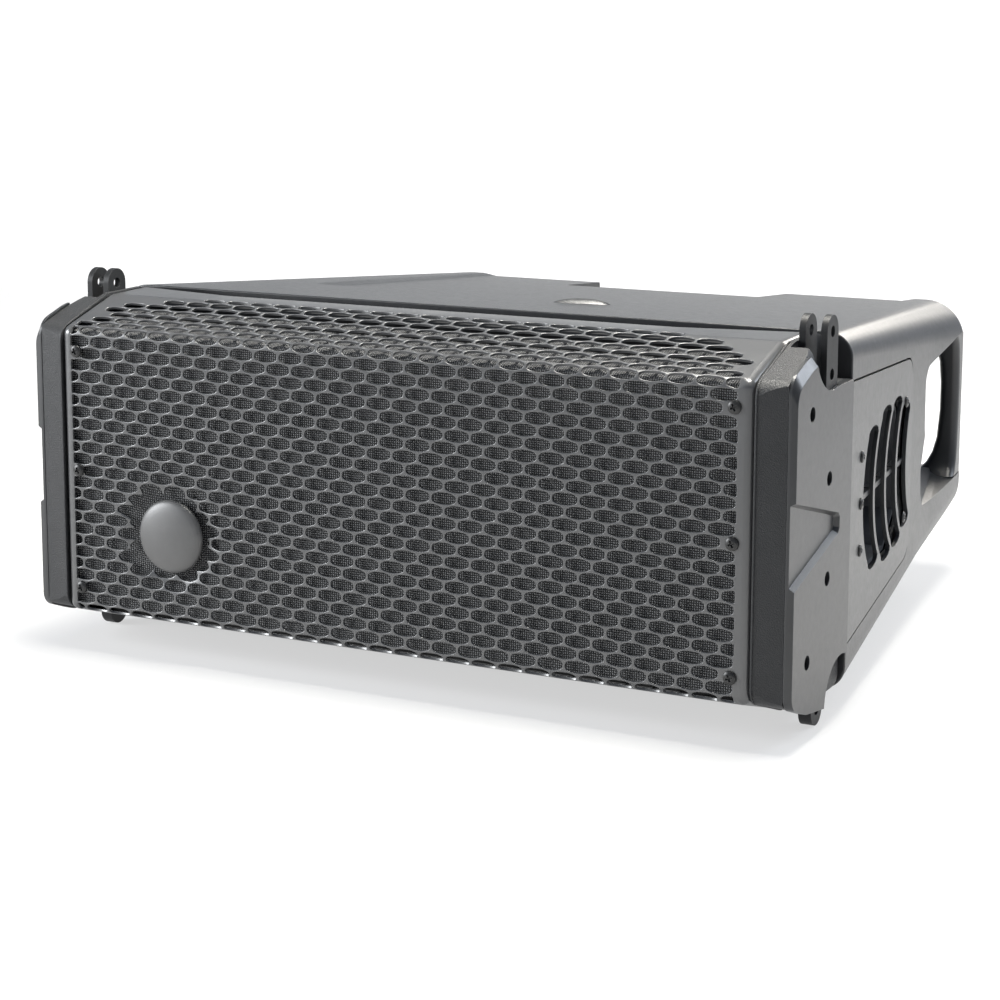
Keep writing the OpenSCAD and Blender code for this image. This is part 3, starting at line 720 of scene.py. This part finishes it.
def sheet_points():
    """Border of the sheet and the extra points that let it fold smoothly."""
    vs = [-GRILLE_END_V, GRILLE_END_V]
    for s in (-1, 1):
        vs += [s * (BEND_Z + BEND_ARC * k / 6) for k in range(7)]
        vs += [s * (BEND_Z + BEND_ARC + BEVEL_END * k / 4) for k in range(1, 5)]
        vs += [s * (BEND_Z + BEND_ARC + BEVEL_END + FLANGE_ARC * k / 3) for k in range(1, 4)]
        vs += [s * (GRILLE_END_V - 14)]
    vs += [-60, -30, 0, 30, 60]
    vs = sorted(set(round(v, 4) for v in vs))
    right = [(GRILLE_HALF_W, v) for v in vs]
    left = [(-GRILLE_HALF_W, v) for v in vs[::-1]]
    inner = [(GRILLE_HALF_W * k / 24.0, v) for v in vs[1:-1] for k in range(-23, 24)]
    reach = GRILLE_END_V - 2.0
    rolls = sorted(vs[1:-1] + [-reach + 2 * reach * k / 80 for k in range(81)])
    inner += [(s * (MARGIN_ROLL + t), v) for v in rolls for s in (-1, 1)
              for t in (-0.6, 0.0, 1.4, 2.6, 3.5, 4.2)]
    inner += [p for r in (30, 34, 38) for p in circle(BADGE.x, BADGE.y, r, 36)]
    return right + left, inner


def open_edges(tris):
    """Edges used by one triangle only, as (start, end) with the sheet on their left."""
    seen = dict.fromkeys((t[i], t[(i + 1) % 3]) for t in tris for i in range(3))
    return [(i, j) for i, j in seen if (j, i) not in seen]


def flat_sheet():
    """The unfolded sheet with its holes left out, as points and triangles."""
    border, inner = sheet_points()
    flat = [Vector(p) for p in border]
    faces_in = [list(range(len(border)))]
    crossing = [h for h in hole_list() if crosses_cut_out(h, EDGE_ROLL)]
    outlines = [barrel(x, v, EDGE_ROLL) for x, v in hole_list() if (x, v) not in crossing]
    outlines.append(cut_out(crossing, EDGE_ROLL))
    for outline in outlines:
        if outline is None:
            continue
        start = len(flat)
        flat += [Vector(p) for p in outline]
        faces_in.append(list(range(start, start + len(outline))))
    flat += [Vector(p) for p in inner]
    points, _, all_tris, _, _, face_of = delaunay_2d_cdt(flat, [], faces_in, 1, 1e-5)
    tris = [t for t, f in zip(all_tris, face_of) if list(f) == [0]]
    return points, [t if turn_of(points, t) > 0 else (t[0], t[2], t[1]) for t in tris]


def build_grille():
    """The folded, perforated sheet: flat web, rolled hole edges, straight walls and a plain back."""
    points, tris = flat_sheet()
    rims = open_edges(tris)
    push = {}
    for i, j in rims:
        d = points[j] - points[i]
        out = Vector((d.y, -d.x)).normalized()
        for k in (i, j):
            push[k] = push.get(k, Vector((0, 0))) + out
    outer = {k for k in push
             if abs(points[k].x) > GRILLE_HALF_W - MERGE or abs(points[k].y) > GRILLE_END_V - MERGE}
    verts = [on_grille(p.x, p.y, 0.0) for p in points]
    offset = len(verts)
    verts += [on_grille(p.x, p.y, -GRILLE_T) for p in points]
    faces = list(tris) + [(offset + t[0], offset + t[2], offset + t[1]) for t in tris]
    # The rolled edge, as steps into the hole and down from the face
    levels = ((0.26, -0.05), (0.42, -0.16), (EDGE_ROLL, -0.42))
    chains = {}
    for k, v in push.items():
        if k in outer:
            continue
        n = v.normalized()
        p = points[k]
        chain = [k]
        for move, depth in levels:
            q = p + n * move
            chain.append(len(verts))
            verts.append(on_grille(q.x, q.y, depth))
        q = p + n * EDGE_ROLL
        verts[offset + k] = on_grille(q.x, q.y, -GRILLE_T)
        chains[k] = chain + [offset + k]
    for i, j in rims:
        if i in chains and j in chains:
            a, b = chains[i], chains[j]
            faces += [(a[m + 1], b[m + 1], b[m], a[m]) for m in range(len(a) - 1)]
        else:
            faces.append((offset + i, offset + j, j, i))
    obj = from_faces("grille_look", verts, faces)
    bm = open_edit(obj)
    bmesh.ops.delete(bm, geom=[v for v in bm.verts if not v.link_faces], context="VERTS")
    close_edit(bm, obj)
    return obj


def turn_of(points, t):
    """Above 0 for a triangle that turns to the left."""
    a, b, c = (points[i] for i in t)
    return (b - a).cross(c - a)


CLOTH_HALF_W = 225
CLOTH_HALF_H = 128
CLOTH_GAP = 3.6
CLOTH_T = 0.8


def build_cloth():
    """The woven cloth, stretched just behind the sheet and dished with it round the badge."""
    vs = range(-CLOTH_HALF_H, CLOTH_HALF_H + 1, 4)
    xs = range(-CLOTH_HALF_W, CLOTH_HALF_W + 1, 6)
    verts = []
    for out in (-CLOTH_GAP, -CLOTH_GAP - CLOTH_T):
        verts += [on_grille(x, v, out) for v in vs for x in xs]
    nx, nv = len(xs), len(vs)
    faces = []
    for j in range(nv - 1):
        for i in range(nx - 1):
            a = j * nx + i
            quad = (a, a + 1, a + nx + 1, a + nx)
            faces.append(quad)
            faces.append(tuple(nx * nv + q for q in quad[::-1]))
    rim = list(range(nx)) + [j * nx + nx - 1 for j in range(1, nv)]
    rim += [(nv - 1) * nx + i for i in range(nx - 2, -1, -1)] + [j * nx for j in range(nv - 2, 0, -1)]
    k = len(rim)
    back = nx * nv
    faces += [(rim[i], back + rim[i], back + rim[(i + 1) % k], rim[(i + 1) % k]) for i in range(k)]
    obj = from_faces("grille_cloth_look", verts, faces)
    close_edit(open_edit(obj), obj)
    return obj


def screw(name, centre, head_r, height, facing):
    """A pan head with a cross recess, turned from facing up to where it faces."""
    profile = [(0.0, 0.0), (head_r * 0.97, 0.0), (head_r, 0.25 * height), (head_r * 0.93, 0.6 * height),
               (head_r * 0.75, 0.86 * height), (head_r * 0.4, height), (0.0, height * 1.02)]
    head = lathe(name, profile, (0, 0, 0), "z", 40)
    w, l = head_r * 0.14, head_r * 0.525
    star = [(l, w), (w, w), (w, l), (-w, l), (-w, w), (-l, w), (-l, -w), (-w, -w), (-w, -l), (w, -l),
            (w, -w), (l, -w)]
    boolean(head, [prism("cross", star[::-1], "z", height * 0.25, height * 2)])
    soften(head, 0.06, 1, 40)
    head.data.transform(Matrix.Translation(centre) @ facing @ Matrix.Rotation(0.4, 4, "Z"))
    return head


def build_front():
    """The grille, the cloth behind it, its screws and the badge."""
    finish_piece(build_grille(), "grille_sheet", MAT["grille"], ["grille"], 50)
    cloth = build_cloth()
    finish_piece(cloth, "grille_cloth_sheet", MAT["cloth"], ["grille_cloth"])
    forward = Matrix.Rotation(math.pi / 2, 4, "X")
    heads = [screw("grille_screw", (s * SCREW_X, 0.0, z), 4.0, 2.0, forward)
             for s in (-1, 1) for z in (-SCREW_Z, 0.0, SCREW_Z)]
    heads = join("grille_screws", heads)
    finish_piece(heads, "grille_screw_heads", MAT["screw"], ["grille_screws"])
    build_badge()


def build_badge():
    """The domed disc and the ring it sits in."""
    centre = (BADGE.x, 0.0, BADGE.y)
    dome = [(0.0, -4.45), (4.0, -4.38), (8.0, -4.16), (12.0, -3.76), (15.5, -3.26), (18.5, -2.6),
            (20.8, -1.8), (22.1, -0.9), (22.8, 0.2), (23.0, 1.2), (22.4, 2.0), (0.0, 2.0)]
    cap = lathe("badge", dome, centre, "y", 96)
    finish_piece(cap, "badge_dome", MAT["badge"], ["badge_disc"], 40)
    # The seat is painted near-black as shade round the badge; it sits behind the dome
    seat = [(0.0, 2.1), (20.5, 2.1), (21.0, 2.6), (21.0, 3.4), (0.0, 3.4)]
    ring = lathe("badge_seat", seat, centre, "y", 96)
    finish_piece(ring, "badge_seat", MAT["badge_ring"], ["badge_ring"])


# ---- End caps and side plates ----
CAP_SLOPE = math.tan(math.radians(12.0))
PLATE_HOLES = ((28, 69.3), (28, -69.3), (58.6, 28.5), (58.6, -28.5))
PLATE_HOLE_R = 4.2


def cap_outline(grow=0.0):
    """Side outline of the moulded front end in (y, z), rounded at its bends."""
    half = CAP_HALF_H + grow
    points = [(0.5 - grow, -88.0), (0.5 - grow, 88.0), (50.0, half - 0.5), (86.5, half),
              (96.5, half - 3.0), (96.5, 3.0 - half), (86.5, -half), (50.0, 0.5 - half)]
    return rounded(points, [11.0, 11.0, 30.0, 8.0, 2.0, 2.0, 8.0, 30.0], 8)


def build_end_caps():
    """The moulded front ends: a face that slopes back outwards, soft corners and the ears' channel."""
    outer = PLATE_IN - 0.2
    cap = prism("cap", cap_outline(), "x", CAP_IN, outer)
    past_in, past_out = CAP_IN - 6, outer + 8
    front = [(past_in, -20.0), (past_out, -20.0), (past_out, (past_out - CAP_IN) * CAP_SLOPE),
             (past_in, -6 * CAP_SLOPE)]
    section = [(-60, -CAP_HALF_H), (outer, -CAP_HALF_H), (outer, CAP_HALF_H), (-60, CAP_HALF_H)]
    section = rounded(section, [0, 11, 11, 0], 10)
    boolean(cap, [prism("angled", front, "z", -150, 150)])
    boolean(cap, [prism("soft_corners", section, "y", -10, 110)], "INTERSECT")
    ear_lo = span("ear_inner_right", 0)[0] - 0.4
    boolean(cap, [box_between("channel", (ear_lo, 54, -130), (HALF_W, 77, 130)),
                  box_between("ear_room", (ear_lo, 44, 79), (HALF_W, 120, 130))])
    soften(cap, 1.3, 3, 24)
    seam = prism("seam", cap_outline(0.7), "x", CAP_IN + 0.2, CAP_IN + 1.5)
    boolean(seam, [box_between("seam_back", (CAP_IN - 1, 50, -130), (CAP_IN + 3, 110, 130))])
    soften(seam, 0.4, 2, 24)
    cap = join("cap_right", [cap, seam])
    finish_pair(cap, "end_cap_%s_look", MAT["cap"], "end_cap_%s", 38)


def build_side_plates():
    """The plates: a broad chamfer on the top front edge, windows, holes and a pressed wedge."""
    base = [(3.5, -90), (3.5, 91), (28, 99), (60, 104), (97, 104), (97, -102), (60, -104), (28, -99)]
    face = [(4.4, -90), (4.4, 84.5), (28.5, 93.4), (60, 98.6), (97, 98.6)] + base[5:]
    radii = [10, 12, 40, 40, 0, 0, 30, 30]
    base = rounded(base, radii, 6)
    face = rounded(face, radii, 6)
    levels = ((PLATE_IN, base), (HALF_W - 3.4, base), (HALF_W, face))
    plate = solid("plate", [[(x, y, z) for y, z in outline] for x, outline in levels])
    cutters = [prism("window", circle(62, 108, 30, 64), "x", 230, 260),
               box_between("window_back", (230, 62, 79), (260, 122, 139)),
               prism("notch", circle(86, -106, 27, 64), "x", 230, 260)]
    cutters += [prism("hole", circle(y, z, PLATE_HOLE_R, 32), "x", 230, 260) for y, z in PLATE_HOLES]
    wedge_low = [(-1.0, -23.6), (-1.0, 24.2), (74.0, 4.2), (75.6, 2.8), (75.6, -2.2), (74.0, -4.0)]
    wedge_top = [(-1.0, -26.0), (-1.0, 26.0), (75.5, 6.4), (78.0, 3.8), (78.0, -3.2), (75.5, -6.2)]
    levels = ((HALF_W - 3.0, wedge_low), (HALF_W + 0.3, wedge_top))
    wedge = solid("wedge", [[(x, y, z) for y, z in outline] for x, outline in levels])
    boolean(plate, cutters + [wedge])
    ear_out = span("ear_outer_right", 0)[1]
    boolean(plate, [box_between("foot_room", (PLATE_IN - 1, 54, 58), (ear_out + 0.3, 76, 90))])
    soften(plate, 0.7, 3, 20)
    finish_pair(plate, "side_plate_%s_look", MAT["side"], "side_plate_%s", 30)


# ---- Shell ----
# Beside the grips the sides ease out by the flare, from a depth and over a length
REAR_FLARE = 3.0
FLARE_Y = 325.0
FLARE_LONG = 140.0
CORNER_R_FRONT = 15.0
CORNER_R_GROWTH = 13.0
FRONT_RIM_R = 1.0


def straight_half_w(y):
    """Half width of the straight taper."""
    return SHELL_HALF_W - (y - SHELL_Y) * math.tan(SIDE_TAPER)


def shell_half_w(y):
    """Half width: the straight taper, easing out a little beside the grips."""
    return straight_half_w(y) + eased(REAR_FLARE, (y - FLARE_Y) / FLARE_LONG)


def shell_ring(y, pull):
    """The shell's rounded section at a depth, pulled in from its surface."""
    w = shell_half_w(y) - pull
    h = SHELL_HALF_H - (y - SHELL_Y) * math.tan(TOP_TAPER) - pull
    r = CORNER_R_FRONT + CORNER_R_GROWTH * (y - SHELL_Y) / (DEPTH - SHELL_Y)
    steps = 12
    points = []
    corners = ((w - r, h - r, 0), (r - w, h - r, 90), (r - w, r - h, 180), (w - r, r - h, 270))
    for cx, cz, start in corners:
        for k in range(steps + 1):
            a = math.radians(start + 90 * k / steps)
            points.append((cx + r * math.cos(a), y, cz + r * math.sin(a)))
    return points


def shell_loft(name, y0, y1, inset, rear_r):
    """The tapered body between two depths, with rounded front and rear rims."""
    rings = []
    for k in range(5):
        a = math.radians(90 * k / 4)
        y = y0 + FRONT_RIM_R * (1 - math.cos(a))
        rings.append(shell_ring(y, FRONT_RIM_R * (1 - math.sin(a)) + inset))
    steps = 14
    for k in range(1, steps):
        y = y0 + FRONT_RIM_R + (y1 - rear_r - y0 - FRONT_RIM_R) * k / steps
        rings.append(shell_ring(y, inset))
    for k in range(9):
        a = math.radians(90 * k / 8)
        y = y1 - rear_r + rear_r * math.sin(a)
        rings.append(shell_ring(y, rear_r * (1 - math.cos(a)) + inset))
    return solid(name, rings)


def side_point(u, n, v):
    """A point on the right side: u back along it from its front, n outwards, v up."""
    s, c = math.sin(SIDE_TAPER), math.cos(SIDE_TAPER)
    return SHELL_HALF_W - u * s + n * c, SHELL_Y + u * c + n * s, v


def side_prism(name, outline, n0, n1):
    """An outline in (u, v) of the right side's plane, extruded outwards from n0 to n1."""
    return solid(name, [[side_point(u, n, v) for u, v in outline] for n in (n0, n1)])


def pocket_outline():
    """Through opening behind the grip in (y, z); it runs out of the back of the wing."""
    points = [(336, 8), (347, -8), (372, -18), (410, -32), (457, -42), (484, -43), (484, 57), (440, 57),
              (344, 50), (335, 42)]
    return rounded(points, [14, 12, 20, 40, 20, 0, 0, 20, 14, 10], 6)


def finger_scoop():
    """A bowl below the opening: its outline at the side shrinks to the opening's as it goes in."""
    outer = [(323, -18), (325, -36), (332, -45), (392, -45),
             (457, -44.5), (492, -44.0), (492, 5), (342, 12)]
    inner = [(345, -4), (352, -8), (369, -17), (403, -30),
             (456, -41.0), (492, -42.4), (492, 4), (352, 11)]
    bm = bmesh.new()
    steps = 7
    for k in range(steps + 1):
        t = k / steps
        ease = t ** 1.25
        for o, i in zip(outer, inner):
            y, z = o[0] + (i[0] - o[0]) * ease, o[1] + (i[1] - o[1]) * ease
            out = REAR_FLARE + 2.0 if k == 0 else 1.5 - 17.0 * t
            bm.verts.new((straight_half_w(y) + out, y, z))
    hull = bmesh.ops.convex_hull(bm, input=bm.verts)
    spare = [v for v in hull["geom_interior"] if isinstance(v, bmesh.types.BMVert)]
    bmesh.ops.delete(bm, geom=spare, context="VERTS")
    obj = new_object("scoop", bpy.data.meshes.new("scoop"))
    close_edit(bm, obj)
    return obj


VENT_END = 190.0
VENT_END_HALF_H = 64.0
VENT_GAP = 1.1


def vent_seat():
    """Cuts the shallow seat of a vent cover, open to the front, with a gap round it."""
    end, high = VENT_END + VENT_GAP, VENT_END_HALF_H + VENT_GAP
    front_high = 78.0 + VENT_GAP
    points = [(-20.0, -front_high), (-20.0, front_high), (end, high), (end, -high)]
    return side_prism("vent_seat", rounded(points, [0, 0, 18, 18], 8), -4.0, 6.0)


def duct_seat():
    """Cuts the opening behind a vent cover's slots."""
    points = [(36, -52), (36, 52), (140, 52), (172, 33), (172, -33), (140, -52)]
    return side_prism("duct_seat", rounded(points, 4, 4), -16.0, 1.0)


# The shallow panel's floor, below the surface of the top or the bottom
PANEL_FLOOR = -2.2


def panel_frame(s):
    """Takes (x, back from the shell's front, out) of the top (s = 1) or the bottom to the cabinet."""
    return Matrix.Translation((0, SHELL_Y, s * SHELL_HALF_H)) @ Matrix.Rotation(-s * TOP_TAPER, 4, "X")


def tray_cutter(s):
    """Cuts the shallow panel of the top (s = 1) or the bottom, with sloping sides."""
    rings = []
    for out, grow in ((PANEL_FLOOR, 0.0), (0.4, 12.0), (20.0, 60.0)):
        front = 112 - grow * 0.2
        corners = [(-168 - grow, front), (168 + grow, front), (164 + grow, 430), (-164 - grow, 430)]
        rings.append([(x, y, s * out) for x, y in rounded(corners, [16, 16, 0, 0], 8)])
    return solid("tray", rings)


def top_slot_cutter(s):
    """Cuts the small slot behind the panel's front edge."""
    outline = rounded([(-11, 120), (6, 120), (6, 133), (-11, 133)], 3, 4)
    return prism("top_slot", outline, "z", *sorted((-s * 5.0, s * 20)))


def crescent():
    """The low curved lip in front of the middle of the top."""
    rings = []
    for k in range(17):
        t = -1 + k / 8
        rise = 5.2 * max(0.0, 1 - abs(t) ** 2.2) ** 0.6
        middle = 92 + 5.0 * t + 4.0 * (1 - t * t)
        reach = 0.4 + 1 - t * t
        foot, shoulder = -5.0, PANEL_FLOOR + rise * 0.7
        ridge = ((-8, foot), (-3, shoulder), (0, PANEL_FLOOR + rise), (3, shoulder), (8, foot))
        rings.append([(38 + 21 * t, middle + away * reach, out) for away, out in ridge])
    return solid("crescent", rings)


def build_shell():
    """The hollow shell with its rear recess, grip pockets, vent seats and panels."""
    shell = shell_loft("shell", SHELL_Y, DEPTH, 0.0, 5.0)
    recess = rounded([(-76, 409), (-76, 520), (76, 520), (76, 409)], [5, 0, 0, 5], 6)
    boolean(shell, [prism("recess", recess, "z", -200, 200),
                    shell_loft("inner", SHELL_Y + 6, 322, 6.0, 4.0),
                    box_between("mouth", (-222.8, SHELL_Y - 2, -90), (222.8, SHELL_Y + 12, 90)),
                    box_between("amp_room", (-107, 300, -76), (107, 401, 76)),
                    box_between("amp_mouth", (-64, 399, -64), (64, 411, 64))])
    right = [prism("pocket", pocket_outline(), "x", 118, 260), finger_scoop(), vent_seat(), duct_seat()]
    left = [mirrored(cutter, "left") for cutter in right]
    boolean(shell, left + right)
    for s in (1, -1):
        cutters = [tray_cutter(s), top_slot_cutter(s)]
        for cutter in cutters:
            cutter.data.transform(panel_frame(s))
        boolean(shell, cutters)
    soften(shell, 2.2, 3, 30)
    lip = crescent()
    lip.data.transform(panel_frame(1))
    shell = join("shell_with_lip", [shell, lip])
    finish_piece(shell, "cabinet_shell_look", MAT["shell"], ["cabinet_shell"], 40)


# ---- Vent covers ----
# Each curved slot: where it starts back along the side, and its lower and upper end
SLOTS = ((38.0, -42.0, 35.0), (72.5, -46.0, 41.0), (107.0, -44.0, 41.0), (141.5, -37.0, 33.0))
SLOT_ARC_R = 56.0
SLOT_WIDE = 29.0
RIB_HALF_H = 1.8
VENT_SCREWS = ((31, 28), (31, 0), (31, -28), (166, 39), (166, -36))


def slot_outline(start, low, high):
    """One tall slot between two arcs, with rounded ends."""
    left = []
    right = []
    steps = 14
    for k in range(steps + 1):
        v = low + (high - low) * k / steps
        bow = SLOT_ARC_R - math.sqrt(SLOT_ARC_R * SLOT_ARC_R - v * v)
        left.append((start + bow, v))
        right.append((start + SLOT_WIDE + bow, v))
    return left + end_curve(left[-1], right[-1], 1) + right[::-1] + end_curve(right[0], left[0], -1)


def end_curve(a, b, sign):
    """Points of a flat arch from a to b, above them (sign = 1) or below."""
    mid = (Vector(a) + Vector(b)) / 2
    half = (Vector(b) - Vector(a)) / 2
    points = []
    for k in range(1, 8):
        t = math.pi * k / 8
        p = mid - half * math.cos(t)
        points.append((p.x, p.y + sign * half.length * 0.38 * math.sin(t) ** 0.8))
    return points


def rib(start):
    """The short bar behind the middle of a slot."""
    lo, hi = start - 2, start + SLOT_WIDE + 2
    outline = [(lo, -RIB_HALF_H), (hi, -RIB_HALF_H), (hi, RIB_HALF_H), (lo, RIB_HALF_H)]
    return side_prism("rib", outline, -7.0, -2.0)


def build_vents():
    """The two vent covers with their slots and ribs, and the screws that hold them."""
    outline = [(0.6, -76.5), (0.6, 76.5), (VENT_END, VENT_END_HALF_H), (VENT_END, -VENT_END_HALF_H)]
    panel = side_prism("vent", rounded(outline, [2, 2, 18, 18], 8), -2.4, 0.3)
    boolean(panel, [side_prism("slot", slot_outline(*slot), -6.0, 2.0) for slot in SLOTS])
    soften(panel, 0.9, 3, 30)
    ribs = join("ribs", [rib(slot[0]) for slot in SLOTS])
    soften(ribs, 0.6, 2, 30)
    panel = join("vent_right", [panel, ribs])
    finish_pair(panel, "vent_cover_%s", MAT["vent"], "vent_panel_%s", 35)
    outward = Matrix.Rotation(SIDE_TAPER, 4, "Z") @ Matrix.Rotation(math.pi / 2, 4, "Y")
    heads = []
    for u, v in VENT_SCREWS:
        head = screw("vent_screw", side_point(u, 0.3, v), 3.6, 1.5, outward)
        heads += [head, mirrored(head, "vent_screw_left")]
    heads = join("vent_screws", heads)
    finish_piece(heads, "vent_screw_heads", MAT["screw"], ["vent_screws"], 40)


# ---- Grip bars ----
BAR_WIDE = 13.5
BAR_DEEP = 19.0
BAR_INSET = 0.2
BAR_SINK = 0.4


def build_handles():
    """Upright bars that widen into the wing at both ends; their outer and rear faces stay put."""
    x_out = shell_half_w(DEPTH) - BAR_INSET
    y_back = DEPTH - BAR_INSET
    low, high = span("handle_right", 2)
    # Share of the height, and how much wider and deeper than the bar it is there
    stations = [(0.0, 17, 13), (0.03, 12, 9), (0.08, 7.5, 5.5), (0.15, 4, 3), (0.25, 1.5, 1.2),
                (0.45, 0, 0), (0.65, 0, 0), (0.8, 1, 1), (0.9, 3.5, 3.2), (0.96, 8, 6.5), (1.0, 15, 12)]
    turn = Matrix.Rotation(SIDE_TAPER, 2)
    pivot = Vector((x_out, y_back))
    rings = []
    for t, more_w, more_d in stations:
        z = low - BAR_SINK + (high - low + 2 * BAR_SINK) * t
        x_in, y_front = x_out - BAR_WIDE - more_w, y_back - BAR_DEEP - more_d
        corners = [(x_in, y_front), (x_out, y_front), (x_out, y_back), (x_in, y_back)]
        ring = [turn @ (Vector(p) - pivot) + pivot for p in rounded(corners, [5, 5, 5.5, 5], 6)]
        rings.append([(p.x, p.y, z) for p in ring])
    bar = solid("handle", rings)
    finish_pair(bar, "handle_%s_look", MAT["shell"], "handle_%s", 50)


# ---- Pieces that keep their CAD shape ----
# Those in view get rounded edges: the width of the rounding, and the material
ROUNDED = {
    "ear_inner_left": (0.7, "rigging"), "ear_inner_right": (0.7, "rigging"),
    "ear_outer_left": (0.7, "rigging"), "ear_outer_right": (0.7, "rigging"),
    "tab_left": (0.9, "rigging"), "tab_right": (0.9, "rigging"),
    "amp_panel": (0.4, "panel"), "heat_sink": (0.4, "sink"),
    "signal_input": (0.4, "socket"), "signal_output": (0.4, "socket"),
    "power_input": (0.5, "blue"), "power_output": (0.5, "pale"),
    "input_latch": (0.4, "latch"), "gain_knob": (0.7, "knob"), "preset_button": (0.5, "button"),
    "status_light": (0.5, "lens"), "rear_bracket": (0.8, "rigging"), "rear_link": (0.9, "rigging"),
    "link_pivot_pin": (0.5, "zinc"), "splay_pin": (0.5, "pin"), "panel_screws": (0.5, "screw"),
    "bracket_bolts": (0.6, "zinc"),
}
PLAIN = {
    "front_frame": "dark", "front_baffle": "wood", "plate_nuts": "zinc", "rigging_bolts": "zinc",
    "woofer_basket_left": "basket", "woofer_basket_right": "basket",
    "woofer_magnet_left": "magnet", "woofer_magnet_right": "magnet",
    "woofer_surround_left": "rubber", "woofer_surround_right": "rubber",
    "woofer_cone_left": "paper", "woofer_cone_right": "paper", "woofer_screws": "screw",
    "horn_waveguide": "dark", "compression_driver": "magnet", "horn_screws": "screw",
    "vent_duct_left": "duct", "vent_duct_right": "duct", "amp_board": "board", "power_supply": "zinc",
    "speaker_wires": "wire",
}


def build_rest():
    """Rounds or just paints every CAD piece that nothing above replaces."""
    for node, (width, look) in ROUNDED.items():
        body = frame["nodes"][node]["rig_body"]
        finish_piece(from_cad(node, width), node + "_look", MAT[look], [node], 35, body)
    for node, look in PLAIN.items():
        cad = frame["nodes"][node]
        cad.data.materials.clear()
        cad.data.materials.append(MAT[look])


# ---- Camera, lights and floor ----
def build_camera():
    """The photograph's camera."""
    camera_data = bpy.data.cameras.new("camera")
    camera = bpy.data.objects.new("camera", camera_data)
    bpy.context.scene.collection.objects.link(camera)
    camera.location = (0.66217, -1.38662, 0.40473)
    camera.rotation_euler = [math.radians(a) for a in (80.7964, -0.1274, 26.9305)]
    camera_data.sensor_width = 36.0
    camera_data.lens = 83.9
    camera_data.shift_y = -0.12
    camera_data.clip_start = 0.05
    camera_data.clip_end = 50.0
    bpy.context.scene.camera = camera


def glowing(name, base, strength, more):
    """A grey surface that also gives off white light."""
    material = bpy.data.materials.new(name)
    tree, shader = link_nodes(material)
    feed(tree, shader, {"Base Color": (*grey(base), 1.0), "Emission Color": (1.0, 1.0, 1.0, 1.0),
                        "Emission Strength": strength})
    feed(tree, shader, more)
    return material


def build_stage():
    """A white floor and backdrop, a dim cool sky and four softboxes."""
    corners = [(-12, -12, 0), (12, -12, 0), (12, 12, 0), (-12, 12, 0)]
    floor = from_faces("floor", corners, [(0, 1, 2, 3)])
    matt = {"Roughness": 0.9, "Specular IOR Level": 0.1}
    floor.data.materials.append(glowing("floor_pale", 0.3, 0.58, matt))
    floor.location.z = -0.0005
    corners = [(-3.0, 1.25, -0.1), (0.1, 1.25, -0.1), (0.1, 1.25, 0.43), (-3.0, 1.25, 0.43)]
    backdrop = from_faces("backdrop", corners, [(3, 2, 1, 0)])
    backdrop.data.materials.append(glowing("backdrop_white", 0.1, 1.0, {}))
    world = bpy.data.worlds.new("world")
    bpy.context.scene.world = world
    world.use_nodes = True
    sky = {"Color": (0.83, 0.95, 1.17, 1.0), "Strength": 0.235}
    feed(world.node_tree, world.node_tree.nodes["Background"], sky)
    softbox("light_top", (0.1, 0.0, 1.6), (0.0, 0.1, 0.1), (0.5, 0.8), 68.0, (1.03, 1.0, 0.93))
    softbox("light_front_left", (-1.7, -1.2, 0.7), (-0.1, 0.0, 0.1), (0.8, 0.9), 50.0, (0.98, 1.0, 1.02))
    softbox("light_back", (0.4, 1.8, 0.95), (0.2, 0.0, 0.1), (0.7, 0.35), 17.0, (1.05, 1.0, 0.92))
    softbox("light_right", (0.95, 0.75, 0.75), (0.42, 0.3, 0.0), (0.5, 0.5), 8.0, (0.91, 0.98, 1.08))
    bpy.context.scene.view_settings.view_transform = "Standard"


def softbox(name, at, to, size, power, colour):
    """A rectangular area light at one point, aimed at another."""
    data = bpy.data.lights.new(name, "AREA")
    data.shape = "RECTANGLE"
    data.size, data.size_y = size
    data.energy = power
    data.color = colour
    obj = bpy.data.objects.new(name, data)
    bpy.context.scene.collection.objects.link(obj)
    obj.location = at
    direction = Vector(to) - Vector(at)
    obj.rotation_euler = direction.to_track_quat("-Z", "Y").to_euler()


build_camera()
build_stage()
build_front()
build_end_caps()
build_side_plates()
build_shell()
build_vents()
build_handles()
build_rest()
